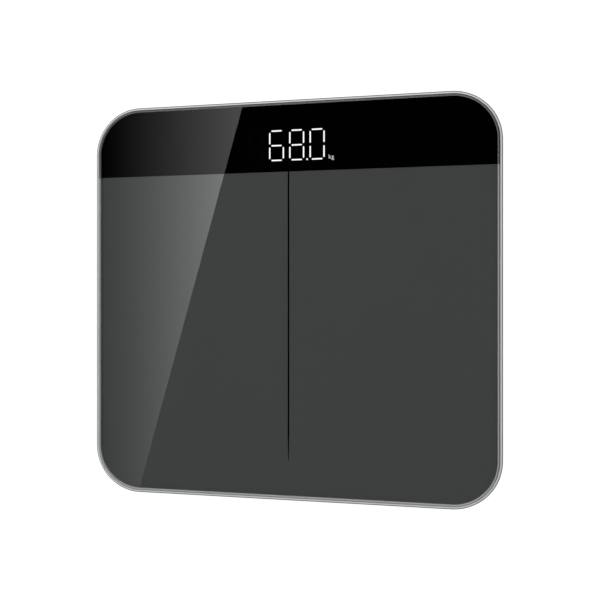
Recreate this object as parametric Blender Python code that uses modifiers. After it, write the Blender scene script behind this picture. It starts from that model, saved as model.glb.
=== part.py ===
"""Digital bathroom scale: a tempered glass platform in a silver rim, on a shallow bottom shell.

Four load cells weigh what stands on the glass, one over each foot. A board under the dark band
carries the LED display, and three AAA cells lie in a box behind a hinged door in the underside.

Run it with: blender --background --python part.py
Frame: metres, +Z up, +Y towards the display, origin on the ground under the middle of the scale.
"""

import math

import bmesh
import bpy
from mathutils import Matrix, Vector

MM = 0.001
GAP = 0.3 * MM  # clearance between pieces that touch on the real scale

# Outline of the whole scale
WIDTH = 290 * MM
DEPTH = 280 * MM
HEIGHT = 26 * MM
CORNER_RADIUS = 33.5 * MM
FINE_STEPS = 12  # straight runs in each rounded corner of a piece that shows
PLAIN_STEPS = 8

# Glass platform and the prints under it
RIM_WALL = 1.9 * MM
GLASS_INSET = RIM_WALL + GAP
GLASS_THICKNESS = 5 * MM
GLASS_BOTTOM = HEIGHT - GLASS_THICKNESS
GLASS_ARRIS = 1.2 * MM
PRINT_INSET = GLASS_INSET + 0.6 * MM
PRINT_THICKNESS = 0.2 * MM
GREY_TOP = GLASS_BOTTOM - GAP
BLACK_TOP = GREY_TOP - PRINT_THICKNESS - GAP
BLACK_BOTTOM = BLACK_TOP - PRINT_THICKNESS
BAND_EDGE_Y = 90.25 * MM
LINE_WIDTH = 0.9 * MM
LINE_END_Y = -111.5 * MM

# Silver rim
RIM_TOP = HEIGHT - 0.8 * MM
RIM_FILLET = 0.6 * MM
LEDGE_TOP = 18.6 * MM
LEDGE_BOTTOM = 16.6 * MM
LEDGE_INSET = 10 * MM
SKIRT_BOTTOM = 14 * MM
SKIRT_WALL = 1.7 * MM

# Bottom shell
SHELL_INSET = SKIRT_WALL + GAP
SHELL_BOTTOM = 4 * MM
SHELL_TOP = LEDGE_BOTTOM - GAP
SHELL_WALL = 2 * MM
SHELL_FLOOR = SHELL_BOTTOM + SHELL_WALL
SHELL_ROUND = 9 * MM
ROUND_STEPS = 3
RIB_THICKNESS = 1.6 * MM
RIB_TOP = 7.7 * MM
RIB_INSET = 12 * MM
RIB_X = 68 * MM
RIB_ROWS = (-50 * MM, -5 * MM, 73 * MM)

# The four weighing stations, one near each corner
STATION_X = 105 * MM
STATION_Y = 100 * MM
STATIONS = {
    "front_left": (-1, -1),
    "front_right": (1, -1),
    "back_left": (-1, 1),
    "back_right": (1, 1),
}
FOOT_RADIUS = 22 * MM
FOOT_STEPS = 24
FLANGE_RADIUS = 24 * MM
FLANGE_BOTTOM = SHELL_FLOOR + GAP
FLANGE_TOP = 7.5 * MM
FOOT_BOTTOM = 0.9 * MM
STEM_RADIUS = 4.5 * MM
STEM_TOP = 9 * MM
PAD_RADIUS = 18.3 * MM
PAD_TOP = 2 * MM
WELL_RADIUS = FOOT_RADIUS + 0.6 * MM
COLLAR_WALL = 2.2 * MM
COLLAR_TOP = 9 * MM
CELL_SIDE = 34 * MM
CELL_BOTTOM = STEM_TOP + GAP
CELL_THICKNESS = 2.5 * MM
CELL_TOP = CELL_BOTTOM + CELL_THICKNESS
CELL_CORNER = 4 * MM
SLOT_OUTER = 9.5 * MM  # half widths of the slot round the load cell's tongue
SLOT_INNER = 6 * MM
TONGUE_ROOT_Y = 12 * MM
TONGUE_TIP_Y = -9 * MM
SLOT_END_Y = -12.5 * MM
HOLDER_SIDE = 50 * MM
HOLDER_BOTTOM = COLLAR_TOP + GAP
HOLDER_PLATE_TOP = 14.6 * MM
HOLDER_TOP = BLACK_BOTTOM - GAP
HOLDER_SCREW_OFFSET = 21 * MM
COLUMN_RADIUS = 17 * MM
COLUMN_BORE_RADIUS = 14 * MM
NOTCH_TOP = 15 * MM

# Display and main board
BOARD_SIZE = (104 * MM, 46 * MM)
BOARD_Y = 105 * MM
BOARD_BOTTOM = 12.4 * MM
BOARD_TOP = 14 * MM
DISPLAY_X = 2 * MM
DISPLAY_Y = 108 * MM
REFLECTOR_SIZE = (67 * MM, 26 * MM)
WINDOW_SIZE = (71 * MM, 29 * MM)
REFLECTOR_TOP = 18.7 * MM
DIFFUSER_THICKNESS = 0.4 * MM
DIGIT_PITCH = 14.5 * MM
FIRST_DIGIT_X = -22.7 * MM
DIGIT_COUNT = 4
SEGMENT_HALF_WIDTH = 4.85 * MM  # from a digit's middle to its upright segments
SEGMENT_HALF_HEIGHT = 10.35 * MM  # from its middle to its top and bottom segments
SEGMENT_LENGTH = 8.2 * MM
SEGMENT_WIDTH = 1.7 * MM
POINT_X = 13.5 * MM
POINT_Y = 97.4 * MM
UNITS_X = 30.6 * MM
UNITS_Y = 98.2 * MM
UNITS_SIZE = (5.6 * MM, 4.6 * MM)
PLUG_Y = 87.5 * MM
PLUG_SIZE_Y = 6 * MM
PLUG_HEIGHT = 4.5 * MM
CELL_PLUG = (-31 * MM, 32 * MM)  # middle and width along X
BATTERY_PLUG = (30.2 * MM, 9 * MM)
CHIP_X = 4 * MM
CHIP_SIDE = 9 * MM
CHIP_HEIGHT = 1.4 * MM
BOARD_SCREW_X = 46 * MM
BOARD_SCREW_Y = 122 * MM

# Unit button
BUTTON_X = 36 * MM
BUTTON_Y = 104 * MM
BUTTON_SIZE = (14 * MM, 8 * MM)
BUTTON_CORNER = 2 * MM
BUTTON_BOTTOM = 4.4 * MM
BUTTON_TOP = 7 * MM
BUTTON_FLANGE_REACH = 1.5 * MM
BUTTON_FLANGE_THICKNESS = 1 * MM
BUTTON_STEM_RADIUS = 1.8 * MM
BUTTON_STEM_TOP = 8.1 * MM
BUTTON_CLEARANCE = 0.4 * MM
SWITCH_SIDE = 6 * MM
SWITCH_HEIGHT = 2.7 * MM
PLUNGER_RADIUS = 1.5 * MM
PLUNGER_TOP = 11.3 * MM

# Battery compartment
BAY_Y = 36 * MM
BAY_SIZE = (53 * MM, 34.5 * MM)
BAY_WALL = 1.5 * MM
DOOR_SIZE = (59.4 * MM, 43.4 * MM)
DOOR_CORNER = 1.7 * MM
DOOR_BOTTOM = SHELL_BOTTOM + 0.2 * MM
DOOR_THICKNESS = 1.7 * MM
DOOR_TOP = DOOR_BOTTOM + DOOR_THICKNESS
SILL_BOTTOM = DOOR_TOP + GAP
SILL_TOP = SILL_BOTTOM + 2 * MM
SILL_SIZE = (64 * MM, 48 * MM)
HINGE_RADIUS = 0.8 * MM
HINGE_Z = DOOR_BOTTOM + DOOR_THICKNESS / 2
HINGE_Y = BAY_Y - DOOR_SIZE[1] / 2 + DOOR_THICKNESS / 2
PIN_REACH = 1.5 * MM  # how far each hinge pin stands out of the door
LATCH_WIDTH = 12 * MM
LATCH_LENGTH = 7 * MM
BATTERY_RADIUS = 5.25 * MM
BATTERY_LENGTH = 44.5 * MM
NUB_RADIUS = 1.9 * MM
NUB_LENGTH = 0.9 * MM
BATTERY_PITCH = 11 * MM
BATTERY_Z = 12.6 * MM
BOX_BOTTOM = SILL_TOP + GAP
BOX_ROOF = 18.2 * MM
BOX_TOP = 19.6 * MM
CONTACT_THICKNESS = 0.5 * MM
CONTACT_REACH = 4 * MM  # past the middle of the cell it touches
CONTACT_Z = (8.9 * MM, 17.6 * MM)
CONTACT_FACE_X = BAY_SIZE[0] / 2 - GAP - CONTACT_THICKNESS
SPRING_RADII = (3.1 * MM, 2.2 * MM)
SPRING_TURNS = 3
POINTS_PER_TURN = 11
SPRING_WIRE = 0.4 * MM

# Screws and wires
SCREW_STEPS = 10
HEAD_RADIUS = 2.8 * MM
HEAD_HEIGHT = 1.7 * MM
SHANK_RADIUS = 1.3 * MM
BOSS_RADIUS = 3.2 * MM
CABLE_RADIUS = 1.1 * MM
CABLE_EXIT_Z = 12.8 * MM
CABLE_START = 18 * MM  # from the station's middle to the end of its cable
CABLE_STRAIGHT = 8.5 * MM
LEAD_RADIUS = 0.8 * MM
LEAD_EXIT_Z = 16.6 * MM
LEAD_STRAIGHT = 2.6 * MM
PLUG_FRONT = PLUG_Y - PLUG_SIZE_Y / 2 - GAP
PLUG_WIRE_Z = 16.6 * MM


# ---------------------------------------------------------------- scene, materials, collections


def clear_scene():
    for obj in list(bpy.data.objects):
        bpy.data.objects.remove(obj)


def make_collection(name):
    collection = bpy.data.collections.new(name)
    bpy.context.scene.collection.children.link(collection)
    return collection


def make_material(name, colour, roughness, metallic=0.0, alpha=1.0):
    material = bpy.data.materials.new(name)
    material.use_nodes = True
    shader = material.node_tree.nodes["Principled BSDF"]
    shader.inputs["Base Color"].default_value = (*colour, 1)
    shader.inputs["Roughness"].default_value = roughness
    shader.inputs["Metallic"].default_value = metallic
    shader.inputs["Alpha"].default_value = alpha
    return material


clear_scene()
PARTS = make_collection("digital_bathroom_scale")
HELPERS = make_collection("cutters")

GLASS = make_material("glass", (0.80, 0.85, 0.84), 0.03, alpha=0.35)
GREY_PRINT = make_material("grey_print", (0.048, 0.051, 0.050), 0.3)
BLACK_PRINT = make_material("black_print", (0.004, 0.004, 0.004), 0.25)
SMOKED = make_material("smoked_film", (0.01, 0.01, 0.012), 0.1)
FOAM = make_material("foam_tape", (0.03, 0.03, 0.03), 0.9)
SILVER = make_material("silver_rim", (0.62, 0.63, 0.64), 0.3, 0.6)
SHELL = make_material("shell_plastic", (0.035, 0.037, 0.038), 0.55)
RUBBER = make_material("rubber", (0.02, 0.02, 0.02), 0.85)
FOOT_PLASTIC = make_material("foot_plastic", (0.10, 0.10, 0.11), 0.5)
STEEL = make_material("cell_steel", (0.55, 0.56, 0.58), 0.3, 1.0)
INNER_PLASTIC = make_material("inner_plastic", (0.75, 0.75, 0.72), 0.5)
BOARD = make_material("board_green", (0.02, 0.16, 0.07), 0.4)
CHIP = make_material("chip_black", (0.015, 0.015, 0.015), 0.4)
CONNECTOR = make_material("connector_white", (0.80, 0.78, 0.70), 0.45)
NICKEL = make_material("nickel_contact", (0.66, 0.64, 0.60), 0.25, 1.0)
CELL_JACKET = make_material("battery_jacket", (0.03, 0.14, 0.30), 0.3, 0.3)
DIFFUSER = make_material("diffuser_white", (0.85, 0.85, 0.85), 0.4)
WIRE_GREY = make_material("cable_grey", (0.30, 0.30, 0.31), 0.6)
WIRE_RED = make_material("lead_red", (0.45, 0.02, 0.02), 0.5)
WIRE_BLACK = make_material("lead_black", (0.02, 0.02, 0.02), 0.5)


# ---------------------------------------------------------------- shape tools


def link(obj, material, helper=False):
    """Puts an object in its collection, as a part with a material or as a hidden helper."""
    (HELPERS if helper else PARTS).objects.link(obj)
    if helper:
        obj.hide_render = True
        obj.display_type = "WIRE"
    else:
        obj.data.materials.append(material)
    return obj


def shade(mesh, angle=40):
    mesh.shade_smooth()
    mesh.set_sharp_from_angle(angle=math.radians(angle))


def object_from(bm, name, material=None, location=(0, 0, 0)):
    """A part from a bmesh, or a helper where no material is given."""
    mesh = bpy.data.meshes.new(name)
    bm.to_mesh(mesh)
    bm.free()
    shade(mesh)
    obj = link(bpy.data.objects.new(name, mesh), material, helper=material is None)
    obj.location = location
    return obj


def round_loop(bm, z, offset, steps):
    """Bevels the edges that lie wholly at height z."""
    edges = [e for e in bm.edges if all(abs(v.co.z - z) < 1e-7 for v in e.verts)]
    bmesh.ops.bevel(
        bm, geom=edges, offset=offset, segments=steps, profile=0.5, affect="EDGES", clamp_overlap=False
    )


def rounded_box(
    name, size, z_span, material=None, corner=0.0, corner_steps=4, centre=(0, 0), low=None, high=None
):
    """A box with rounded upright corners. low and high are (width, steps) of a bevel on each end."""
    bm = bmesh.new()
    height = z_span[1] - z_span[0]
    scale = Matrix.Diagonal((size[0], size[1], height, 1))
    bmesh.ops.create_cube(bm, size=1, matrix=scale)
    if corner:
        upright = [e for e in bm.edges if abs(e.verts[0].co.z - e.verts[1].co.z) > height / 2]
        bmesh.ops.bevel(
            bm, geom=upright, offset=corner, segments=corner_steps, profile=0.5, affect="EDGES"
        )
    if low:
        round_loop(bm, -height / 2, *low)
    if high:
        round_loop(bm, height / 2, *high)
    return object_from(bm, name, material, (*centre, sum(z_span) / 2))


def cylinders(name, centres, radius, z_span, material=None, steps=16):
    """Upright cylinders, one at each (x, y), in one mesh."""
    bm = bmesh.new()
    for x, y in centres:
        place = Matrix.Translation((x, y, sum(z_span) / 2))
        bmesh.ops.create_cone(
            bm, cap_ends=True, segments=steps, radius1=radius, radius2=radius,
            depth=z_span[1] - z_span[0], matrix=place,
        )
    return object_from(bm, name, material)


def boxes(name, spans, material=None):
    """Plain boxes, each ((x0, x1), (y0, y1), (z0, z1)), in one mesh."""
    bm = bmesh.new()
    for span in spans:
        middle = Vector([(low + high) / 2 for low, high in span])
        scale = Matrix.Diagonal((*[high - low for low, high in span], 1))
        bmesh.ops.create_cube(bm, size=1, matrix=Matrix.Translation(middle) @ scale)
    return object_from(bm, name, material)


def rectangle(x, y, width, depth):
    """Corners of a rectangle centred on (x, y), anticlockwise."""
    corners = ((1, -1), (1, 1), (-1, 1), (-1, -1))
    return [(x + i * width / 2, y + j * depth / 2) for i, j in corners]


def circle(x, y, radius, steps):
    """Points round a circle centred on (x, y)."""
    angles = [2 * math.pi * step / steps for step in range(steps)]
    return [(x + radius * math.cos(a), y + radius * math.sin(a)) for a in angles]


def rod_along_x(name, middle, radius, length, steps):
    """A helper cylinder that lies along X."""
    bm = bmesh.new()
    place = Matrix.Translation(middle) @ Matrix.Rotation(math.radians(90), 4, "Y")
    bmesh.ops.create_cone(
        bm, cap_ends=True, segments=steps, radius1=radius, radius2=radius, depth=length, matrix=place
    )
    return object_from(bm, name)


def rounded_outline(width, depth, radius, steps):
    """Points of a rounded rectangle round the origin, anticlockwise."""
    points = []
    for quarter, (sx, sy) in enumerate(((1, 1), (-1, 1), (-1, -1), (1, -1))):
        cx, cy = sx * (width / 2 - radius), sy * (depth / 2 - radius)
        for step in range(steps + 1):
            angle = math.radians(90) * (quarter + step / steps)
            points.append((cx + radius * math.cos(angle), cy + radius * math.sin(angle)))
    return points


def inset_outline(inset, steps):
    """The scale's outline, moved in by inset."""
    return rounded_outline(WIDTH - 2 * inset, DEPTH - 2 * inset, CORNER_RADIUS - inset, steps)


def add_spline(curve, points):
    spline = curve.splines.new("POLY")
    spline.points.add(len(points) - 1)
    for target, point in zip(spline.points, points):
        target.co = (*point, 0, 1) if len(point) == 2 else (*point, 1)
    return spline


def flat(name, outlines, z_span, material):
    """A flat sheet from a filled 2D curve. The outlines after the first are its holes."""
    curve = bpy.data.curves.new(name, "CURVE")
    curve.dimensions = "2D"
    curve.fill_mode = "BOTH"
    curve.extrude = (z_span[1] - z_span[0]) / 2
    for points in outlines:
        add_spline(curve, points).use_cyclic_u = True
    obj = link(bpy.data.objects.new(name, curve), material)
    obj.location.z = sum(z_span) / 2
    return obj


def as_mesh(obj, helper=False):
    """Replaces a curve by the closed mesh that it makes."""
    bpy.context.view_layer.update()
    graph = bpy.context.evaluated_depsgraph_get()
    mesh = bpy.data.meshes.new_from_object(obj.evaluated_get(graph))
    bm = bmesh.new()
    bm.from_mesh(mesh)
    bmesh.ops.remove_doubles(bm, verts=bm.verts, dist=1e-6)
    bm.to_mesh(mesh)
    bm.free()
    shade(mesh)
    name, place = obj.name, obj.matrix_world.copy()
    bpy.data.objects.remove(obj)
    made = bpy.data.objects.new(name, mesh)
    if helper:
        mesh.materials.clear()
        link(made, None, helper=True)
    else:
        PARTS.objects.link(made)
    made.matrix_world = place
    return made


def turned(name, profile, material, steps, location=(0, 0, 0), rotation=(0, 0, 0)):
    """A solid of revolution about Z. The profile is (radius, height), from the axis at the top
    down its outer side and back to the axis."""
    mesh = bpy.data.meshes.new(name)
    rim = range(len(profile) - 1)
    mesh.from_pydata([(r, 0, z) for r, z in profile], [(i, i + 1) for i in rim], [])
    obj = link(bpy.data.objects.new(name, mesh), material)
    obj.location = location
    obj.rotation_euler = rotation
    screw = obj.modifiers.new("Screw", "SCREW")
    screw.steps = screw.render_steps = steps
    screw.use_merge_vertices = True
    screw.merge_threshold = 1e-6
    return obj


def smooth_path(route, spacing):
    """Points about one spacing apart on a Catmull-Rom curve through the route's points."""
    stops = [Vector(p) for p in route]
    ends = [2 * stops[0] - stops[1], *stops, 2 * stops[-1] - stops[-2]]
    points = [stops[0]]
    for a, b, c, d in zip(ends, ends[1:], ends[2:], ends[3:]):
        count = max(2, round((c - b).length / spacing))
        for step in range(1, count + 1):
            t = step / count
            points.append(
                0.5 * (2 * b + t * (c - a) + t**2 * (2 * a - 5 * b + 4 * c - d)
                       + t**3 * (3 * b - a - 3 * c + d))
            )
    return points


def tube(name, points, radius, material, resolution=2):
    """A round wire along the points."""
    curve = bpy.data.curves.new(name, "CURVE")
    curve.dimensions = "3D"
    curve.bevel_depth = radius
    curve.bevel_resolution = resolution
    curve.use_fill_caps = True
    add_spline(curve, [tuple(p) for p in points])
    return link(bpy.data.objects.new(name, curve), material)


def boolean(obj, operation, others):
    for other in others:
        modifier = obj.modifiers.new(other.name, "BOOLEAN")
        modifier.operation = operation
        modifier.solver = "EXACT"
        modifier.use_self = True
        modifier.object = other
    return obj


def cut(obj, *cutters):
    return boolean(obj, "DIFFERENCE", cutters)


def join(obj, *others):
    return boolean(obj, "UNION", others)


def settle(obj):
    """Applies a part's modifiers, so that the edges they make are shaded by their angle too."""
    if not obj.modifiers:
        return
    graph = bpy.context.evaluated_depsgraph_get()
    mesh = bpy.data.meshes.new_from_object(obj.evaluated_get(graph))
    shade(mesh)
    obj.modifiers.clear()
    obj.data = mesh


def swept_ring(name, inset, profile, steps, material):
    """A ring round the scale's outline. The profile is (distance in from the outline, height)."""
    section = bpy.data.curves.new(name + "_section", "CURVE")
    section.dimensions = "2D"
    add_spline(section, [(x - inset, z) for x, z in profile]).use_cyclic_u = True
    guide = link(bpy.data.objects.new(name + "_section", section), None, helper=True)
    path = bpy.data.curves.new(name, "CURVE")
    path.dimensions = "2D"
    path.bevel_mode = "OBJECT"
    path.bevel_object = guide
    add_spline(path, inset_outline(inset, steps)).use_cyclic_u = True
    return as_mesh(link(bpy.data.objects.new(name, path), material))


# ---------------------------------------------------------------- platform


def glass_platform():
    inset = 2 * GLASS_INSET
    return rounded_box(
        "glass_platform", (WIDTH - inset, DEPTH - inset), (GLASS_BOTTOM, HEIGHT), GLASS,
        CORNER_RADIUS - GLASS_INSET, FINE_STEPS, low=(GLASS_ARRIS / 2, 1), high=(GLASS_ARRIS, 2),
    )


def grey_field_print():
    """The grey ink, up to the dark band, with the slot that shows as the centre line."""
    below = [p for p in inset_outline(PRINT_INSET, FINE_STEPS) if p[1] < BAND_EDGE_Y]
    side = WIDTH / 2 - PRINT_INSET
    half = LINE_WIDTH / 2
    slot = [(half, BAND_EDGE_Y), (half, LINE_END_Y), (-half, LINE_END_Y), (-half, BAND_EDGE_Y)]
    outline = [(-side, BAND_EDGE_Y), *below, (side, BAND_EDGE_Y), *slot]
    return flat("grey_field_print", [outline], (GREY_TOP - PRINT_THICKNESS, GREY_TOP), GREY_PRINT)


def window_outline(margin=0.0):
    """The display window, or what fits in it with a margin all round."""
    width, depth = (side - 2 * margin for side in WINDOW_SIZE)
    return [(x + DISPLAY_X, y + DISPLAY_Y) for x, y in rounded_outline(width, depth, 1 * MM, 2)]


def black_backing_print():
    outlines = [inset_outline(PRINT_INSET, FINE_STEPS), window_outline()]
    return flat("black_backing_print", outlines, (BLACK_BOTTOM, BLACK_TOP), BLACK_PRINT)


def display_window():
    return flat("display_window", [window_outline(GAP)], (BLACK_BOTTOM, BLACK_TOP), SMOKED)


def glass_gasket():
    low, high = LEDGE_TOP + GAP, BLACK_BOTTOM - GAP
    inner, outer = LEDGE_INSET - 0.5 * MM, GLASS_INSET + 0.8 * MM
    profile = [(outer, low), (outer, high), (inner, high), (inner, low)]
    return swept_ring("glass_gasket", outer, profile, PLAIN_STEPS, FOAM)


def rim_frame():
    """The silver rim: a wall round the glass, a ledge under it and a skirt round the shell."""
    profile = [
        (0, SKIRT_BOTTOM), (0, RIM_TOP - RIM_FILLET), (0.3 * RIM_FILLET, RIM_TOP - 0.3 * RIM_FILLET),
        (RIM_FILLET, RIM_TOP), (RIM_WALL, RIM_TOP), (RIM_WALL, LEDGE_TOP),
        (LEDGE_INSET, LEDGE_TOP), (LEDGE_INSET, LEDGE_BOTTOM), (SKIRT_WALL, LEDGE_BOTTOM),
        (SKIRT_WALL, SKIRT_BOTTOM),
    ]
    return swept_ring("rim_frame", 0, profile, FINE_STEPS, SILVER)


# ---------------------------------------------------------------- bottom shell


def station_centres():
    return [(sx * STATION_X, sy * STATION_Y) for sx, sy in STATIONS.values()]


def holder_screw_places():
    """Two screws for each cell holder, on the diagonal that runs along the corner's curve."""
    offset = HOLDER_SCREW_OFFSET
    return [
        (sx * STATION_X + turn * sx * offset, sy * STATION_Y - turn * sy * offset)
        for sx, sy in STATIONS.values()
        for turn in (1, -1)
    ]


def board_screw_places():
    return [(-BOARD_SCREW_X, BOARD_SCREW_Y), (BOARD_SCREW_X, BOARD_SCREW_Y)]


def shell_block(name, wall, bottom, top, material=None):
    """The shell's outer form, or its hollow where wall is its thickness."""
    inset = SHELL_INSET + wall
    return rounded_box(
        name, (WIDTH - 2 * inset, DEPTH - 2 * inset), (bottom, top), material,
        CORNER_RADIUS - inset, PLAIN_STEPS, low=(SHELL_ROUND - wall, ROUND_STEPS),
    )


def shell_ribs():
    """Low stiffening ribs across the floor, between the stations and the battery sill."""
    half, heights = RIB_THICKNESS / 2, (SHELL_FLOOR - 1 * MM, RIB_TOP)
    x_end, y_end = WIDTH / 2 - RIB_INSET, DEPTH / 2 - RIB_INSET
    across = [((-x_end, x_end), (y - half, y + half), heights) for y in RIB_ROWS]
    along = [((x - half, x + half), (-y_end, y_end), heights) for x in (-RIB_X, RIB_X)]
    return [boxes("rib_across", across), boxes("rib_along", along)]


def bottom_shell():
    shell = shell_block("bottom_shell", 0, SHELL_BOTTOM, SHELL_TOP, SHELL)
    cut(shell, shell_block("shell_hollow", SHELL_WALL, SHELL_FLOOR, SHELL_TOP + 5 * MM))
    root = SHELL_FLOOR - 1 * MM
    sill_root = (root, SILL_TOP)
    join(
        shell,
        *shell_ribs(),
        rounded_box("door_sill", SILL_SIZE, sill_root, corner=3 * MM, centre=(0, BAY_Y)),
        cylinders(
            "collars", station_centres(), FLANGE_RADIUS + COLLAR_WALL, (root, COLLAR_TOP),
            steps=FOOT_STEPS,
        ),
        cylinders("holder_bosses", holder_screw_places(), BOSS_RADIUS, (root, COLLAR_TOP), steps=12),
        cylinders(
            "board_bosses", board_screw_places(), BOSS_RADIUS, (root, BOARD_BOTTOM - GAP), steps=12
        ),
    )
    under = SHELL_BOTTOM - 2 * MM
    cut(
        shell,
        cylinders(
            "flange_space", station_centres(), FLANGE_RADIUS + 0.6 * MM,
            (SHELL_FLOOR - 0.1 * MM, COLLAR_TOP + 2 * MM), steps=FOOT_STEPS,
        ),
        cylinders(
            "foot_wells", station_centres(), WELL_RADIUS, (under, COLLAR_TOP), steps=FOOT_STEPS
        ),
        cylinders(
            "pilot_holes", holder_screw_places() + board_screw_places(), SHANK_RADIUS + GAP,
            (SHELL_FLOOR - 0.5 * MM, SHELL_TOP), steps=SCREW_STEPS,
        ),
        *door_cutters(under),
        rounded_box(
            "button_hole", [side + 2 * BUTTON_CLEARANCE for side in BUTTON_SIZE],
            (under, SHELL_FLOOR + 1 * MM), corner=BUTTON_CORNER + BUTTON_CLEARANCE,
            centre=(BUTTON_X, BUTTON_Y),
        ),
    )
    return shell


def door_cutters(under):
    """What the door, its hinge pins, its latch and the cells take out of the shell."""
    recess = [side + 2 * GAP for side in DOOR_SIZE]
    pin_reach = DOOR_SIZE[0] / 2 + PIN_REACH + 0.4 * MM
    slot_half = HINGE_RADIUS + 0.35 * MM
    latch_half = LATCH_WIDTH / 2 + 0.8 * MM
    latch_wall = BAY_Y + DOOR_SIZE[1] / 2 + GAP
    return [
        rounded_box(
            "door_recess", recess, (under, SILL_BOTTOM), corner=DOOR_CORNER + GAP, centre=(0, BAY_Y)
        ),
        rounded_box("bay_opening", BAY_SIZE, (under, SILL_TOP + 2 * MM), centre=(0, BAY_Y)),
        boxes("latch_and_pin_slots", [
            ((-latch_half, latch_half), (latch_wall - LATCH_LENGTH, latch_wall),
             (under, SILL_TOP + 2 * MM)),
            ((-latch_half, latch_half), (latch_wall - 1 * MM, latch_wall + 1.2 * MM),
             (SILL_BOTTOM + 0.2 * MM, SILL_TOP - 0.5 * MM)),
        ]),
        boxes("pin_slots", [
            ((side * (pin_reach - 4 * MM), side * pin_reach)[::side],
             (HINGE_Y - slot_half, HINGE_Y + slot_half), (under, SILL_BOTTOM - 0.1 * MM))
            for side in (1, -1)
        ]),
    ]


# ---------------------------------------------------------------- weighing stations


def screw_profile(length):
    """Pan head above z = 0 and a plain shank below it."""
    return [
        (0, HEAD_HEIGHT), (0.6 * HEAD_RADIUS, HEAD_HEIGHT), (HEAD_RADIUS, 0.5 * HEAD_HEIGHT),
        (HEAD_RADIUS, 0), (SHANK_RADIUS, 0), (SHANK_RADIUS, 0.6 * MM - length), (0, -length),
    ]


def screw(name, place, seat_z, length):
    return turned(name, screw_profile(length), STEEL, SCREW_STEPS, (*place, seat_z))


def foot(station, centre):
    """A round plastic foot. Its flange stops it dropping out, and its stem bears on the load cell."""
    recess = PAD_TOP + GAP
    profile = [
        (0, STEM_TOP), (STEM_RADIUS, STEM_TOP), (STEM_RADIUS, FLANGE_TOP), (FLANGE_RADIUS, FLANGE_TOP),
        (FLANGE_RADIUS, FLANGE_BOTTOM), (FOOT_RADIUS, FLANGE_BOTTOM), (FOOT_RADIUS, FOOT_BOTTOM + 1 * MM),
        (FOOT_RADIUS - 1 * MM, FOOT_BOTTOM), (PAD_RADIUS + GAP, FOOT_BOTTOM), (PAD_RADIUS + GAP, recess),
        (0, recess),
    ]
    return turned("foot_" + station, profile, FOOT_PLASTIC, FOOT_STEPS, (*centre, 0))


def foot_pad(station, centre):
    edge = 0.4 * MM
    profile = [(0, PAD_TOP), (PAD_RADIUS, PAD_TOP), (PAD_RADIUS, edge), (PAD_RADIUS - edge, 0), (0, 0)]
    return turned("foot_pad_" + station, profile, RUBBER, FOOT_STEPS, (*centre, 0))


def load_cell(station, centre):
    """A stamped steel plate. The slot leaves a tongue in its middle, which the foot's stem bends."""
    half, corner = CELL_SIDE / 2, CELL_CORNER
    outline = [
        (half, corner - half), (half, half - corner), (half - corner, half), (corner - half, half),
        (-half, half - corner), (-half, corner - half), (corner - half, -half), (half - corner, -half),
    ]
    slot = [
        (-SLOT_OUTER, TONGUE_ROOT_Y), (-SLOT_OUTER, SLOT_END_Y),
        (SLOT_OUTER, SLOT_END_Y), (SLOT_OUTER, TONGUE_ROOT_Y),
        (SLOT_INNER, TONGUE_ROOT_Y), (SLOT_INNER, TONGUE_TIP_Y),
        (-SLOT_INNER, TONGUE_TIP_Y), (-SLOT_INNER, TONGUE_ROOT_Y),
    ]
    cell = flat("load_cell_" + station, [outline, slot], (CELL_BOTTOM, CELL_TOP), STEEL)
    cell.location.x, cell.location.y = centre
    return cell


def holder_pocket(station):
    """Space in a holder for its load cell, for the tongue to bend and for the cable."""
    side = CELL_SIDE + 2 * GAP
    inward = -STATIONS[station][0]
    cable_half = CABLE_RADIUS + 1.2 * MM
    return boxes("pocket_" + station, [
        ((-side / 2, side / 2), (-side / 2, side / 2), (HOLDER_BOTTOM - 1 * MM, CELL_TOP + GAP)),
        ((-12 * MM, 12 * MM), (-14 * MM, 14 * MM), (CELL_TOP - 1 * MM, CELL_TOP + 1.5 * MM)),
        ((0, inward * 30 * MM)[::inward], (-cable_half, cable_half), (CELL_TOP - 0.5 * MM, NOTCH_TOP)),
    ])


def cell_holder(station, centre):
    """Carries the platform: a plate over the load cell and a round column up to the glass."""
    holder = rounded_box(
        "cell_holder_" + station, (HOLDER_SIDE, HOLDER_SIDE), (HOLDER_BOTTOM, HOLDER_PLATE_TOP),
        INNER_PLASTIC, corner=5 * MM, corner_steps=2,
    )
    holder.location.x, holder.location.y = centre
    column_span = (HOLDER_PLATE_TOP - 1 * MM, HOLDER_TOP)
    column = cylinders("column_" + station, [(0, 0)], COLUMN_RADIUS, column_span, steps=20)
    bore_span = (HOLDER_PLATE_TOP, HOLDER_TOP + 1 * MM)
    bore = cylinders("column_bore_" + station, [(0, 0)], COLUMN_BORE_RADIUS, bore_span, steps=20)
    offset, (sx, sy) = HOLDER_SCREW_OFFSET, STATIONS[station]
    screws = [(turn * sx * offset, -turn * sy * offset) for turn in (1, -1)]
    holes = cylinders(
        "screw_holes_" + station, screws, SHANK_RADIUS + GAP,
        (HOLDER_BOTTOM - 1 * MM, HOLDER_TOP), steps=SCREW_STEPS,
    )
    pocket = holder_pocket(station)
    for helper in (column, bore, holes, pocket):
        helper.location.x, helper.location.y = centre
    return cut(join(holder, column), bore, pocket, holes)


# ---------------------------------------------------------------- display and electronics


def bar_outline(x, y, length, width, upright):
    """A bar with round ends, centred on (x, y)."""
    radius, reach, points = width / 2, (length - width) / 2, []
    for end in (1, -1):
        for step in range(4):
            angle = math.radians(-90 + 60 * step + (0 if end == 1 else 180))
            points.append((end * reach + radius * math.cos(angle), radius * math.sin(angle)))
    if upright:
        points = [(-v, u) for u, v in points]
    return [(x + u, y + v) for u, v in points]


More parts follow.
